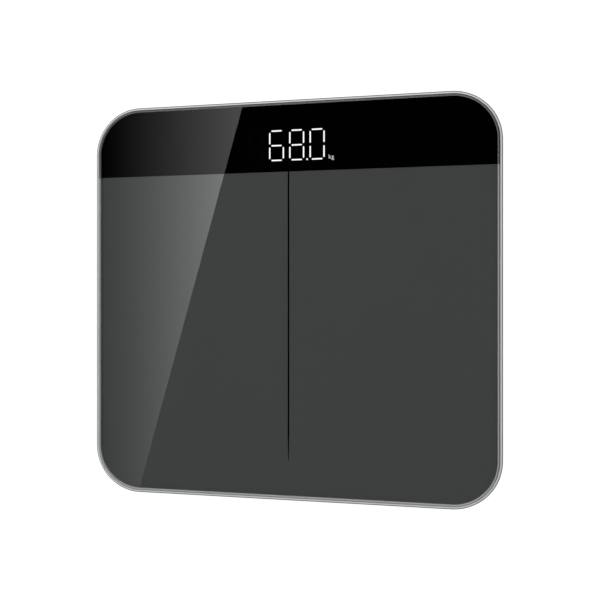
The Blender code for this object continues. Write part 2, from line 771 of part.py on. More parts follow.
def digit_outlines(middle_x):
    """The seven segments of one digit."""
    level = [
        bar_outline(middle_x, DISPLAY_Y + k * SEGMENT_HALF_HEIGHT, SEGMENT_LENGTH, SEGMENT_WIDTH, False)
        for k in (-1, 0, 1)
    ]
    upright = [
        bar_outline(
            middle_x + i * SEGMENT_HALF_WIDTH, DISPLAY_Y + j * SEGMENT_HALF_HEIGHT / 2,
            SEGMENT_LENGTH, SEGMENT_WIDTH, True,
        )
        for i in (-1, 1)
        for j in (-1, 1)
    ]
    return level + upright


def display_reflector():
    """The moulded frame of the LED display, with a light well for each segment."""
    outlines = [rectangle(DISPLAY_X, DISPLAY_Y, *REFLECTOR_SIZE)]
    for index in range(DIGIT_COUNT):
        outlines += digit_outlines(FIRST_DIGIT_X + index * DIGIT_PITCH)
    outlines.append(circle(POINT_X, POINT_Y, SEGMENT_WIDTH / 2, 8))
    outlines.append(rectangle(UNITS_X, UNITS_Y, *UNITS_SIZE))
    return flat("display_reflector", outlines, (BOARD_TOP + GAP, REFLECTOR_TOP), CHIP)


def display_diffuser():
    low = REFLECTOR_TOP + GAP
    size = [side - 1 * MM for side in REFLECTOR_SIZE]
    return rounded_box(
        "display_diffuser", size, (low, low + DIFFUSER_THICKNESS), DIFFUSER, centre=(DISPLAY_X, DISPLAY_Y)
    )


def main_board():
    board = rounded_box(
        "main_board", BOARD_SIZE, (BOARD_BOTTOM, BOARD_TOP), BOARD, corner=2 * MM, corner_steps=2,
        centre=(0, BOARD_Y),
    )
    holes = cylinders(
        "board_holes", board_screw_places(), SHANK_RADIUS + GAP,
        (BOARD_BOTTOM - 1 * MM, BOARD_TOP + 1 * MM), steps=SCREW_STEPS,
    )
    return cut(board, holes)


def controller_chip():
    span = (BOARD_TOP + GAP, BOARD_TOP + GAP + CHIP_HEIGHT)
    return rounded_box("controller_chip", (CHIP_SIDE, CHIP_SIDE), span, CHIP, centre=(CHIP_X, PLUG_Y))


def plug(name, x, width):
    """A wire-to-board connector standing on the board."""
    span = (BOARD_TOP + GAP, BOARD_TOP + GAP + PLUG_HEIGHT)
    return rounded_box(
        name, (width, PLUG_SIZE_Y), span, CONNECTOR, corner=0.5 * MM, corner_steps=1,
        centre=(x, PLUG_Y),
    )


def switch_body():
    """The tact switch under the board: a square block, bored for its plunger."""
    top = BOARD_BOTTOM - GAP
    square = rectangle(BUTTON_X, BUTTON_Y, SWITCH_SIDE, SWITCH_SIDE)
    bore = circle(BUTTON_X, BUTTON_Y, PLUNGER_RADIUS + 0.4 * MM, 12)
    return flat("switch_body", [square, bore], (top - SWITCH_HEIGHT, top), CHIP)


def switch_plunger():
    span = (BUTTON_STEM_TOP + GAP, PLUNGER_TOP)
    return cylinders("switch_plunger", [(BUTTON_X, BUTTON_Y)], PLUNGER_RADIUS, span, CONNECTOR, 12)


def unit_button():
    """The cap that chooses kilograms, pounds or stones, with the flange that keeps it in."""
    centre = (BUTTON_X, BUTTON_Y)
    cap = rounded_box(
        "unit_button", BUTTON_SIZE, (BUTTON_BOTTOM, BUTTON_TOP), SHELL, corner=BUTTON_CORNER,
        centre=centre, low=(0.4 * MM, 1),
    )
    flange_size = [side + 2 * BUTTON_FLANGE_REACH for side in BUTTON_SIZE]
    flange_bottom = SHELL_FLOOR + GAP
    flange = rounded_box(
        "button_flange", flange_size, (flange_bottom, flange_bottom + BUTTON_FLANGE_THICKNESS),
        corner=BUTTON_CORNER, centre=centre,
    )
    stem_span = (BUTTON_TOP - 0.5 * MM, BUTTON_STEM_TOP)
    stem = cylinders("button_stem", [centre], BUTTON_STEM_RADIUS, stem_span, steps=12)
    return join(cap, flange, stem)


# ---------------------------------------------------------------- battery compartment


def lead_hole_place(side):
    """The middle of the hole in one end wall of the box, in line with that end's outer cell."""
    return (side * BAY_SIZE[0] / 2, BAY_Y + side * BATTERY_PITCH, LEAD_EXIT_Z)


def battery_box():
    size = [side + 2 * BAY_WALL for side in BAY_SIZE]
    box = rounded_box(
        "battery_box", size, (BOX_BOTTOM, BOX_TOP), SHELL, corner=1 * MM, corner_steps=1, centre=(0, BAY_Y)
    )
    hollow = rounded_box("box_hollow", BAY_SIZE, (BOX_BOTTOM - 1 * MM, BOX_ROOF), centre=(0, BAY_Y))
    holes = [
        rod_along_x("lead_hole", lead_hole_place(side), LEAD_RADIUS + 0.4 * MM, 5 * MM, 8)
        for side in (1, -1)
    ]
    return cut(box, hollow, *holes)


def battery(index):
    """One AAA cell lying along X. Neighbours point opposite ways."""
    nub, half = NUB_RADIUS, BATTERY_LENGTH / 2
    shoulder, edge = half - NUB_LENGTH, 0.5 * MM
    profile = [
        (0, half), (nub, half), (nub, shoulder), (BATTERY_RADIUS - edge, shoulder),
        (BATTERY_RADIUS, shoulder - edge), (BATTERY_RADIUS, edge - half), (BATTERY_RADIUS - edge, -half),
        (0, -half),
    ]
    ahead = 1 if index % 2 == 0 else -1
    middle_x = ahead * (CONTACT_FACE_X - GAP - half)
    place = (middle_x, BAY_Y + (index - 1) * BATTERY_PITCH, BATTERY_Z)
    turn = (0, math.radians(90 * ahead), 0)
    return turned(f"battery_{index + 1}", profile, CELL_JACKET, 16, place, turn)


def contact(name, side, rows, sprung_rows):
    """A nickel plate on one end wall of the box, with a spring for each cell whose flat end it meets."""
    inner, outer = side * CONTACT_FACE_X, side * (CONTACT_FACE_X + CONTACT_THICKNESS)
    low_y, high_y = (BAY_Y + (row - 1) * BATTERY_PITCH for row in (min(rows), max(rows)))
    reach = CONTACT_REACH
    plate = boxes(name, [(sorted((inner, outer)), (low_y - reach, high_y + reach), CONTACT_Z)], NICKEL)
    for row in sprung_rows:
        join(plate, contact_spring(f"{name}_spring_{row}", side, BAY_Y + (row - 1) * BATTERY_PITCH))
    return plate


def contact_spring(name, side, y):
    """A conical coil from just inside the plate to the cell's flat end."""
    start = CONTACT_FACE_X + CONTACT_THICKNESS / 2
    room = 2 * CONTACT_FACE_X - BATTERY_LENGTH - 2 * GAP - SPRING_WIRE
    end = CONTACT_FACE_X - room
    count = POINTS_PER_TURN * SPRING_TURNS
    points = []
    for step in range(count + 1):
        t = step / count
        radius = SPRING_RADII[0] + t * (SPRING_RADII[1] - SPRING_RADII[0])
        angle = 2 * math.pi * SPRING_TURNS * t
        x = side * (start + t * (end - start))
        points.append((x, y + radius * math.cos(angle), BATTERY_Z + radius * math.sin(angle)))
    return as_mesh(tube(name, points, SPRING_WIRE, NICKEL, resolution=1), helper=True)


def battery_door():
    """A flat cover whose round hinge edge ends in two pins, with a notch for its latch."""
    far = BAY_Y + DOOR_SIZE[1] / 2
    door = rounded_box(
        "battery_door", (DOOR_SIZE[0], far - HINGE_Y), (DOOR_BOTTOM, DOOR_TOP), SHELL,
        corner=DOOR_CORNER, centre=(0, (HINGE_Y + far) / 2),
    )
    pins_length = DOOR_SIZE[0] + 2 * PIN_REACH
    barrel = rod_along_x("hinge_barrel", (0, HINGE_Y, HINGE_Z), HINGE_RADIUS, pins_length, 12)
    half = LATCH_WIDTH / 2 + GAP
    notch = boxes("latch_notch", [
        ((-half, half), (far - LATCH_LENGTH, far + 1 * MM), (DOOR_BOTTOM - 1 * MM, DOOR_TOP + 1 * MM)),
    ])
    return cut(join(door, barrel), notch)


def door_latch():
    """A springy U in the door's free edge. Its nose snaps into the sill."""
    far = BAY_Y + DOOR_SIZE[1] / 2
    outline = [
        (-6.7, 4.2), (-6.7, 7.4), (-6.1, 8.0), (-1.6, 8.0), (-1.0, 7.6), (-0.1, 7.5), (0.8, 6.9),
        (-0.1, 6.5), (-0.1, 4.2), (-2.6, 4.2), (-2.6, 5.0), (-1.2, 5.4), (-1.2, 6.8), (-1.9, 7.1),
        (-5.5, 7.1), (-5.8, 6.8), (-5.8, 4.2),
    ]
    points = [(far + y * MM, z * MM) for y, z in outline]
    span = (-LATCH_WIDTH / 2, LATCH_WIDTH / 2)
    latch = flat("door_latch", [points], span, SHELL)
    latch.rotation_euler = (math.radians(90), 0, math.radians(90))
    latch.location = (0, 0, 0)
    return latch


# ---------------------------------------------------------------- wires

CABLE_SLOTS_X = {"back_left": -43, "front_left": -35, "back_right": -19, "front_right": -27}
CABLE_ROUTES = {  # in millimetres, from just past the holder's notch to just before the plug
    "back_left": [(-68, 94, 10), (-58, 80, 9.6), (-48, 73, 11.6)],
    "front_left": [(-64, -84, 9.3), (-55, -30, 9.3), (-54, 30, 9.3), (-48, 62, 9.6), (-38, 72, 11.6)],
    "back_right": [(66, 88, 9.6), (50, 74, 9.3), (0, 69, 9.3), (-13, 72, 11.6)],
    "front_right": [
        (64, -84, 9.3), (52, -30, 9.3), (43, 8, 9.3), (41, 44, 9.3), (30, 61, 9.3), (2, 64, 9.3),
        (-21, 70, 11.6),
    ],
}
LEAD_ROUTES = {
    "battery_lead_red": [(33, 50, 15), (35, 60, 12.8), (34, 71, 13.4)],
    "battery_lead_black": [(-34, 30, 15), (-35, 44, 13), (-27, 60, 13), (0, 66, 13), (20, 70, 13.6)],
}
LEAD_SLOTS_X = {"battery_lead_red": 32, "battery_lead_black": 28.5}


def wire(name, start, straight, route, slot_x, radius, material):
    """A wire: straight out of its hole along X, along its route, and into its slot in the plug."""
    x, y, z = start
    slot = slot_x * MM
    ends = [(slot, PLUG_FRONT - 5 * MM, PLUG_WIRE_Z - 0.6 * MM), (slot, PLUG_FRONT, PLUG_WIRE_Z)]
    points = [start, (x + straight, y, z), *[[c * MM for c in p] for p in route], *ends]
    return tube(name, smooth_path(points, 11 * radius), radius, material)


def wires():
    for station, route in CABLE_ROUTES.items():
        sx, sy = STATIONS[station]
        start = (sx * (STATION_X - CABLE_START), sy * STATION_Y, CABLE_EXIT_Z)
        slot_x = CABLE_SLOTS_X[station]
        wire("cell_cable_" + station, start, -sx * CABLE_STRAIGHT, route, slot_x, CABLE_RADIUS, WIRE_GREY)
    for name, side, material in (("battery_lead_red", 1, WIRE_RED), ("battery_lead_black", -1, WIRE_BLACK)):
        x, y, z = lead_hole_place(side)
        start = (x + side * 0.1 * MM, y, z)
        route, slot_x = LEAD_ROUTES[name], LEAD_SLOTS_X[name]
        wire(name, start, side * LEAD_STRAIGHT, route, slot_x, LEAD_RADIUS, material)


# ---------------------------------------------------------------- the whole scale


def build():
    glass_platform()
    grey_field_print()
    black_backing_print()
    display_window()
    glass_gasket()
    rim_frame()
    bottom_shell()
    for station, (sx, sy) in STATIONS.items():
        centre = (sx * STATION_X, sy * STATION_Y)
        foot(station, centre)
        foot_pad(station, centre)
        load_cell(station, centre)
        cell_holder(station, centre)
    for index, place in enumerate(holder_screw_places()):
        screw(f"holder_screw_{index + 1}", place, HOLDER_PLATE_TOP + GAP, 8 * MM)
    for index, place in enumerate(board_screw_places()):
        screw(f"board_screw_{index + 1}", place, BOARD_TOP + GAP, 7 * MM)
    display_reflector()
    display_diffuser()
    main_board()
    controller_chip()
    plug("cell_connector", *CELL_PLUG)
    plug("battery_connector", *BATTERY_PLUG)
    switch_body()
    switch_plunger()
    unit_button()
    battery_box()
    for index in range(3):
        battery(index)
    contact("terminal_negative", -1, [0], [0])
    contact("bridge_contact_left", -1, [1, 2], [2])
    contact("bridge_contact_right", 1, [0, 1], [1])
    contact("terminal_positive", 1, [2], [])
    battery_door()
    door_latch()
    wires()
    for obj in list(PARTS.objects):
        settle(obj)


build()
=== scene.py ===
"""Looks of a digital bathroom scale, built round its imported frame.

The glass, its prints, the rim, the shell, the feet, the load cells, the door, the batteries and the lit
display are made here as fine pieces. The frame's other inner parts stay as they are and get their
materials. Metres, +Z up, +Y towards the display.
"""

import math

import bmesh
import bpy
from mathutils import Matrix, Vector

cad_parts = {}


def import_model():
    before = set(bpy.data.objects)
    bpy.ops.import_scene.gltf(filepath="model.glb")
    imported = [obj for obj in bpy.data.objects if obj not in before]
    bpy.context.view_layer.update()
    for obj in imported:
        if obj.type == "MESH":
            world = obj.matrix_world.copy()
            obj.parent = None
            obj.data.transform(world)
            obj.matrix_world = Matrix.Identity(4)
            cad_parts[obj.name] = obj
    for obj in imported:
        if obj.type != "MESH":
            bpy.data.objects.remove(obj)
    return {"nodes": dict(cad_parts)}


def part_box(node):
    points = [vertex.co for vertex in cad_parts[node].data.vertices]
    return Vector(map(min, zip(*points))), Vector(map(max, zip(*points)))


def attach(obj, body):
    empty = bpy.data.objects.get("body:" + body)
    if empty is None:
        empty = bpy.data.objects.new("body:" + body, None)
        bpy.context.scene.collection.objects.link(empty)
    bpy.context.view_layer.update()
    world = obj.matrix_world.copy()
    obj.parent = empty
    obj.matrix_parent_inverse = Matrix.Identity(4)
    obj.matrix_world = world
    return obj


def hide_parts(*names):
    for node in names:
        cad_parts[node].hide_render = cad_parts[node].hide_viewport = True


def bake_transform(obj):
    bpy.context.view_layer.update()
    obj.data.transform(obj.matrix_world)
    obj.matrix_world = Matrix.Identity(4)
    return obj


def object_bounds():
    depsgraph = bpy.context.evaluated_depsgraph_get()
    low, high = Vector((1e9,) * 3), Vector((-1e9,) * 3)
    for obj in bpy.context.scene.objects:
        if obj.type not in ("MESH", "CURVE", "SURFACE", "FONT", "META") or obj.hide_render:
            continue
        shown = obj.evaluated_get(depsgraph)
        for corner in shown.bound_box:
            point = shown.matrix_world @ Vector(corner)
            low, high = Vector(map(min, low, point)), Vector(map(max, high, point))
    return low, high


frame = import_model()
CAD_LOW, CAD_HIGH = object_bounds()


def centre_of(node):
    """The middle of a node's box, seen from above."""
    low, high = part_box(node)
    return (low.x + high.x) / 2, (low.y + high.y) / 2


MM = 0.001
MICRON = 0.000001
BASE = "base"
STATIONS = ("front_left", "front_right", "back_left", "back_right")
HOLDER_SCREWS = [f"holder_screw_{i + 1}" for i in range(8)]
BOARD_SCREWS = ["board_screw_1", "board_screw_2"]
GAP = 0.3 * MM  # between pieces that move or come apart

WIDTH = CAD_HIGH.x - CAD_LOW.x
DEPTH = CAD_HIGH.y - CAD_LOW.y
TOP = CAD_HIGH.z
CORNER_RADIUS = 33.5 * MM
CORNER_STEPS = 28

# Rim
RIM_LOW, RIM_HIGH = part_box("rim_frame")
RIM_WALL = 1.66 * MM
RIM_CROWN = 0.28 * MM  # the face falls this much towards its chamfer
RIM_CHAMFER = 0.72 * MM
RIM_DROP = 0.2 * MM  # the chamfer falls this much
PAINT_REACH = 0.16 * MM  # how far down the inner wall its silver paint goes; below that the wall is painted near black as painted shade
LEDGE_INSET = 10 * MM
LEDGE_TOP = 18.6 * MM
LEDGE_BOTTOM = 16.6 * MM
SKIRT_WALL = 1.7 * MM

# Glass and prints
GLASS_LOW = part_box("glass_platform")[0]
GLASS_INSET = 1.85 * MM
FLANK_WIDTH = 0.78 * MM  # the outer, steeper ground facet
FLANK_DROP = 0.45 * MM
FACET_WIDTH = 0.86 * MM  # the inner, shallow one
FACET_DROP = 0.2 * MM
SEAM = 0.95 * MM  # the ground lower edge, which shows through the glass from the far side
PRINT_INSET = GLASS_INSET + 0.05 * MM
PRINT_THICKNESS = 0.15 * MM
PRINT_GAP = 0.02 * MM
GREY_TOP = GLASS_LOW.z - PRINT_GAP
BLACK_TOP = GREY_TOP - PRINT_THICKNESS - PRINT_GAP
BAND_EDGE_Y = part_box("grey_field_print")[1].y
COAT_EDGE_Y = BAND_EDGE_Y - 0.6 * MM  # the same line on top of the glass, as seen from above
LINE_X = -0.39 * MM
LINE_HALF = 0.58 * MM  # it narrows from LINE_TAPER_Y to LINE_END_HALF
LINE_TAPER_Y = -94.1 * MM
LINE_END_Y = -112.7 * MM
LINE_END_HALF = 0.22 * MM

# Display
DIGIT_Y = 108.8 * MM
DIGIT_PITCH = 14.5 * MM
FIRST_DIGIT_X = -23.5 * MM
SEGMENT_HALF_WIDTH = 4.9 * MM
SEGMENT_HALF_HEIGHT = 10.35 * MM
LEVEL_LENGTH = 7.5 * MM
UPRIGHT_LENGTH = 8.1 * MM
SEGMENT_WIDTH = 1.0 * MM
SEGMENT_SPAN = (BLACK_TOP + 0.02 * MM, BLACK_TOP + 0.1 * MM)
POINT_PLACE = (12.95 * MM, 98.45 * MM)
POINT_RADIUS = 0.62 * MM
UNITS_LOW = (28.3 * MM, 97.2 * MM)
UNITS_WIDTH = 3.6 * MM
READING = (" ", "6", "8", "0")
SEGMENTS_LIT = {" ": "", "6": "acdefg", "8": "abcdefg", "0": "abcdef"}

# Shell
SHELL_LOW, SHELL_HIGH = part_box("bottom_shell")
SHELL_WALL = 2 * MM
SHELL_ROUND = 9 * MM
SHELL_FLOOR = SHELL_LOW.z + SHELL_WALL
ROUND_STEPS = 10
OPEN_TOP = 12 * MM  # where the cutters from below end
UNDER = SHELL_LOW.z - 2 * MM  # where the cutters from below begin
ROOT = SHELL_FLOOR - 1 * MM  # where the ribs and bosses begin, inside the floor
RIB_ROWS_Y = (-50 * MM, -5 * MM, 73 * MM)
RIB_COLUMNS_X = (-68 * MM, 68 * MM)
RIB_REACH = (133 * MM, 128 * MM)  # how far the rows and the columns go each way
RIB_HALF = 0.8 * MM
RIB_TOP = 7.7 * MM
COLLAR_TOP = 9 * MM
COLLAR_WALL = 2.2 * MM
BOSS_RADIUS = 3.2 * MM
BOARD_BOSS_TOP = 12.1 * MM
PILOT_RADIUS = 1.6 * MM
PILOT_TOP = 17 * MM
GROOVE_INSET = 12 * MM
GROOVE_HALF = 0.35 * MM
GROOVE_DEPTH = 0.45 * MM
LABEL_SIZE = (72 * MM, 36 * MM)
LABEL_PLACE = (0, -62 * MM)
LABEL_DEPTH = 0.3 * MM
BEAD_RADIUS = 25.6 * MM
BEAD_HALF = 1.1 * MM
BEAD_HEIGHT = 0.55 * MM

# Feet and load cells. The slot in a load cell leaves a tongue.
FOOT_CENTRES = {station: centre_of("foot_" + station) for station in STATIONS}
FOOT_RADIUS = 22 * MM
FOOT_ROUND = 1.2 * MM
FLANGE_RADIUS = 24 * MM
FLANGE_SPAN = (6.3 * MM, 7.5 * MM)
WELL_GAP = WELL_CHAMFER = 0.6 * MM
WELL_RADIUS = FOOT_RADIUS + WELL_GAP
STEM_RADIUS = 4.5 * MM
HUB = 0.5 * MM  # the small flat in the middle of a turned recess
PAD_GROOVE, PAD_LAND, PAD_DEPTH = 0.9 * MM, 2.6 * MM, 0.6 * MM
CELL_CORNER = 4 * MM
CELL_EDGE = 0.2 * MM
SLOT_OUTER, SLOT_INNER = 9.5 * MM, 6 * MM  # half widths, outside and inside the slot
TONGUE_ROOT, TONGUE_TIP, SLOT_END = 12 * MM, -9 * MM, -12.5 * MM
TONGUE_CORNER = 2 * MM
TONGUE_PITCH = 1 * MM
COATING_SIZE = (9 * MM, 7 * MM)

# Battery door, its latch and the opening under the batteries
DOOR_LOW, DOOR_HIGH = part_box("battery_door")
DOOR_WIDTH = 59.4 * MM
DOOR_CORNER = 1.7 * MM
DOOR_FAR_Y = DOOR_HIGH.y
DOOR_WALL_Y = DOOR_FAR_Y + GAP
HINGE_RADIUS = 0.8 * MM
HINGE_Y = DOOR_LOW.y + HINGE_RADIUS
HINGE_Z = (DOOR_LOW.z + DOOR_HIGH.z) / 2
PIN_LENGTH = 4 * MM
PIN_GAP = 0.35 * MM
BAY_Y = centre_of("battery_box")[1]
BAY_SIZE = (53 * MM, 34.5 * MM)
SILL_SIZE = (64 * MM, 48 * MM)
SILL_BOTTOM = DOOR_HIGH.z + GAP
SILL_TOP = SILL_BOTTOM + 2 * MM
LATCH_LOW, LATCH_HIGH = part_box("door_latch")
LATCH_HALF = 6 * MM
NOTCH_HALF = 6.3 * MM  # of its notch in the door
CATCH_HALF = 6.8 * MM  # of its space in the shell
LATCH_DEPTH = 7 * MM
LATCH_WALL, LATCH_BEND, LATCH_LIP = 0.85 * MM, 1.6 * MM, 2.5 * MM
NOSE_REACH = 0.9 * MM
NOSE_SPAN = (6.4 * MM, 6.8 * MM)
GRIP_SIZE = (20 * MM, 0.9 * MM)
GRIP_START, GRIP_PITCH, GRIP_DEPTH = 9.5 * MM, 2 * MM, 0.6 * MM
ARROW_START, ARROW_HALF, ARROW_LENGTH, ARROW_DEPTH = 18.5 * MM, 3 * MM, 4 * MM, 0.5 * MM
DOOR_RIB_SIZE = (46 * MM, 1.2 * MM)
DOOR_RIB_PITCH = 11 * MM

# Button
BUTTON_LOW, BUTTON_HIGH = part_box("unit_button")
BUTTON_PLACE = centre_of("unit_button")
BUTTON_SIZE = (14 * MM, 8 * MM)
BUTTON_CORNER = 2 * MM
BUTTON_GAP = 0.4 * MM
BUTTON_TOP = 7 * MM
BUTTON_FLANGE = (17 * MM, 11 * MM)
BUTTON_STEM = 1.8 * MM

# Battery contacts
CONTACT_THICKNESS = 0.5 * MM
SPRING_WIRE = 0.38 * MM
SPRING_TURNS = 4
SPRING_RADII = (3.1 * MM, 2.2 * MM)

# Photographic set
EYE_X = 111.4 * MM  # the camera is above the right edge
EYE_Y = 0.08 * MM
EYE_HEIGHT = 501.1 * MM  # above the glass
EYE_TILT = math.radians(11.6)
LENS = 44.14
SKY_STOPS = ((0.0, 0.9), (0.25, 0.7), (0.5, 0.45), (0.74, 0.32), (0.83, 0.0), (1.0, 0.0))
SKY_SIDE = (1.0, 0.12, 0.3, 0.9)  # the ring goes from 1 to 0.12 over X 0.3 to 0.9
KEY = {"place": (-1.35, 1.35, 3.8), "size": 3.2, "power": 129.5}
FILL = {"place": (1.0, 0.2, 0.75), "size": 0.9, "power": 2.8}
FLOOR_SIZE = 12
FLOOR_COLOUR = 0.16
FLOOR_SEEN = 0.96  # its glow, as the camera sees it
FLOOR_FADE = (0.75, 0.4, -0.2, 0.25)  # for the scale, it goes from 0.75 to 0.4 over X -0.2 to 0.25
CARD_HEIGHT = 620 * MM
CARD_REACH = 150 * MM
SHEEN_START_X = -145 * MM
SHEEN_TOP = (-32.35 * MM, 139.1 * MM)  # a point on the sheen's slanted edge
SHEEN_SLOPE = 0.2844  # of that edge, X over Y
SHEEN_POWER = 1.65
SHEEN_STRENGTH = 1.56


# ---------------- node materials


class Tree:
    """A node tree, with short calls for the nodes that the finishes and the lights share."""

    def __init__(self, owner):
        owner.use_nodes = True
        self.nodes, self.links = owner.node_tree.nodes, owner.node_tree.links
        self.places = self.node("TexCoord").outputs

    def node(self, kind, values=None, **settings):
        """A node. values gives each input a value, or another node's output to take."""
        node = self.nodes.new("ShaderNode" + kind)
        for name, value in settings.items():
            setattr(node, name, value)
        for name, value in (values or {}).items():
            if isinstance(value, bpy.types.NodeSocket):
                self.links.new(value, node.inputs[name])
            else:
                node.inputs[name].default_value = value
        return node

    def link(self, output, target):
        self.links.new(output, target)

    def axis(self, letter, space="Object"):
        """The place along X, Y or Z."""
        return self.node("SeparateXYZ", {0: self.places[space]}).outputs[letter]

    def noise(self, scale, detail=3.0, roughness=0.5, stretch=None):
        """Noise over the object's own coordinates. scale is in features per metre."""
        place = self.places["Object"]
        if stretch:
            place = self.node("Mapping", {"Vector": place, "Scale": stretch}).outputs["Vector"]
        values = {"Vector": place, "Scale": scale, "Detail": detail, "Roughness": roughness}
        return self.node("TexNoise", values).outputs["Fac"]

    def ramp(self, value, low, high, start=0.0, end=1.0):
        """value from start to end becomes low to high, as numbers or as colours."""
        if isinstance(low, tuple):
            return self.blend(self.ramp(value, 0, 1, start, end), (*low, 1), (*high, 1))
        limits = {"From Min": start, "From Max": end, "To Min": low, "To Max": high}
        return self.node("MapRange", {"Value": value, **limits}).outputs["Result"]

    def blend(self, factor, low, high):
        """A colour between low and high."""
        return self.node("Mix", {0: factor, 6: low, 7: high}, data_type="RGBA").outputs[2]

    def maths(self, operation, *values):
        return self.node("Math", dict(enumerate(values)), operation=operation).outputs[0]

    def glow(self, power):
        return self.node("Emission", {"Strength": power}).outputs[0]

    def mixed(self, kind, *shaders):
        """A shader that adds others, or mixes them by the first one."""
        return self.node(kind, dict(enumerate(shaders))).outputs[0]


class Shader(Tree):
    """A material with a Principled surface."""

    def __init__(self, name, **values):
        self.material = bpy.data.materials.new(name)
        super().__init__(self.material)
        self.bsdf = self.nodes["Principled BSDF"]
        for socket, value in values.items():
            self.bsdf.inputs[socket.replace("_", " ")].default_value = value

    def colour(self, output):
        self.link(output, self.bsdf.inputs["Base Color"])

    def roughness(self, output):
        self.link(output, self.bsdf.inputs["Roughness"])

    def bump(self, height, distance, strength=1.0):
        """Bumps of the given height in metres."""
        node = self.node("Bump", {"Height": height, "Strength": strength, "Distance": distance})
        self.link(node.outputs["Normal"], self.bsdf.inputs["Normal"])


def grey(value):
    return (value,) * 3


def darker(colour):
    return tuple(c * 0.85 for c in colour)


def speckled(name, dark, light, roughness, grain, bumps=(), depth=0.0, strength=1.0, **values):
    """Colour and roughness that vary over a grain, in features per metre. bumps are another noise."""
    shader = Shader(name, **values)
    cloud = shader.noise(grain)
    shader.colour(shader.ramp(cloud, dark, light, 0.35, 0.65))
    shader.roughness(shader.ramp(cloud, roughness * 0.9, roughness * 1.1, 0.3, 0.7))
    if bumps:
        shader.bump(shader.noise(*bumps), depth, strength)
    return shader.material


def silver_paint(name, dark, light, roughness, metallic):
    """Satin silver paint: fine flakes and a very slight orange peel."""
    peel = (2200, 2)
    return speckled(
        name, dark, light, roughness, 9000, peel, 10 * MICRON, 0.5, Metallic=metallic, IOR=1.5
    )


def moulded_plastic(name, dark, light, roughness, grain=2600, depth=30 * MICRON):
    """Plastic from a spark-eroded mould, slightly mottled."""
    return speckled(name, dark, light, roughness, 1100, (grain, 2, 0.6), depth, IOR=1.5)


def insulation(name, colour):
    return speckled(name, darker(colour), colour, 0.45, 500, (1800, 2), 10 * MICRON)


def clear_glass(name, **values):
    tint = (0.985, 0.995, 0.99, 1)
    return Shader(name, Base_Color=tint, Roughness=0.0, Transmission_Weight=1.0, **values).material


def ground_glass(name, transmission, over_grey, over_black, roughness):
    """Ground glass round the plate's edge. Its colour is painted lighter over the grey ink and darker
    over the black band: painted light and painted shade for the light that the ink sends up into the
    edge.
    """
    shader = Shader(name, IOR=1.52, Transmission_Weight=transmission)
    cloud = shader.noise(900)
    # the tone over the grey ink and the tone over the black band: painted light and painted shade, not a
    # tint of the glass
    painted_tones = [shader.ramp(cloud, grey(0.9 * t), grey(t), 0.3, 0.7) for t in (over_grey, over_black)]
    across = shader.ramp(shader.axis("Y"), 0.0, 1.0, COAT_EDGE_Y - 0.5 * MM, COAT_EDGE_Y + 0.5 * MM)
    shader.colour(shader.blend(across, *painted_tones))
    shader.roughness(shader.ramp(shader.noise(2500, 2), roughness, roughness * 2, 0.3, 0.7))
    return shader.material


def brushed_steel(name, colour):
    """Rolled sheet with its grain along Y."""
    shader = Shader(name, Metallic=1.0)
    grain = shader.noise(4000, 2, 0.6, stretch=(1, 0.03, 1))
    shader.colour(shader.ramp(grain, darker(colour), colour, 0.35, 0.65))
    shader.roughness(shader.ramp(grain, 0.24, 0.38, 0.3, 0.7))
    shader.bump(grain, 8 * MICRON)
    return shader.material


def circuit_board():
    """Green solder mask over a grid of traces."""
    shader = Shader("solder_mask", Roughness=0.35, Coat_Weight=0.4, Coat_Roughness=0.15)
    black, white = (0, 0, 0, 1), (1, 1, 1, 1)
    sizes = {"Scale": 90.0, "Mortar Size": 0.012, "Brick Width": 0.6, "Row Height": 0.22}
    colours = {"Color1": black, "Color2": black, "Mortar": white}
    values = {"Vector": shader.places["Object"], **sizes, **colours}
    lines = shader.node("TexBrick", values).outputs["Color"]
    shader.colour(shader.ramp(lines, (0.012, 0.12, 0.05), (0.03, 0.24, 0.10)))
    shader.bump(lines, 30 * MICRON)
    return shader.material


GLASS = clear_glass("tempered_glass", IOR=1.52)
COATED = clear_glass(
    "hard_coated_glass", IOR=1.52, Coat_Weight=1.0, Coat_IOR=1.68, Coat_Roughness=0.0
)
BONDED = clear_glass("printed_underside", IOR=1.0)
# Each ground glass below is painted lighter over the grey ink and darker over the black band: painted
# light and painted shade.
GROUND_FACET = ground_glass("ground_glass_edge", 0.6, 0.84, 0.34, 0.12)
GROUND_FLANK = ground_glass("ground_glass_flank", 0.88, 0.69, 0.18, 0.1)
GROUND_SIDE = ground_glass("ground_glass_side", 0.35, 0.45, 0.24, 0.22)
GROUND_SEAM = ground_glass("seamed_lower_edge", 0.35, 0.48, 0.22, 0.22)
GREY_INK = speckled("grey_ink", (0.072, 0.078, 0.076), (0.077, 0.083, 0.081), 0.55, 1800, IOR=1.1)
BLACK_INK = speckled("black_ink", grey(0.0004), grey(0.0008), 0.6, 1500, IOR=1.02)
LIT = speckled(
    "lit_segment", grey(0.10), grey(0.14), 0.4, 1500, IOR=1.1,
    Emission_Color=(0.97, 0.985, 1.0, 1), Emission_Strength=1.0,
)
UNLIT = speckled("unlit_segment", grey(0.0010), grey(0.0016), 0.5, 1500, IOR=1.1)
# One silver paint in three tones: the face light, the outer wall darker and the chamfer darkest. The
# darker tones are painted shade where the rim turns away from the light.
RIM_FACE = silver_paint("silver_face", (0.66, 0.67, 0.675), (0.73, 0.74, 0.745), 0.38, 0.1)
RIM_SIDE = silver_paint("silver_chamfer_painted_shade", (0.21, 0.215, 0.22), (0.27, 0.275, 0.28), 0.30, 0.6)
RIM_OUTSIDE = silver_paint("silver_wall_painted_shade", (0.42, 0.425, 0.43), (0.49, 0.495, 0.50), 0.34, 0.5)
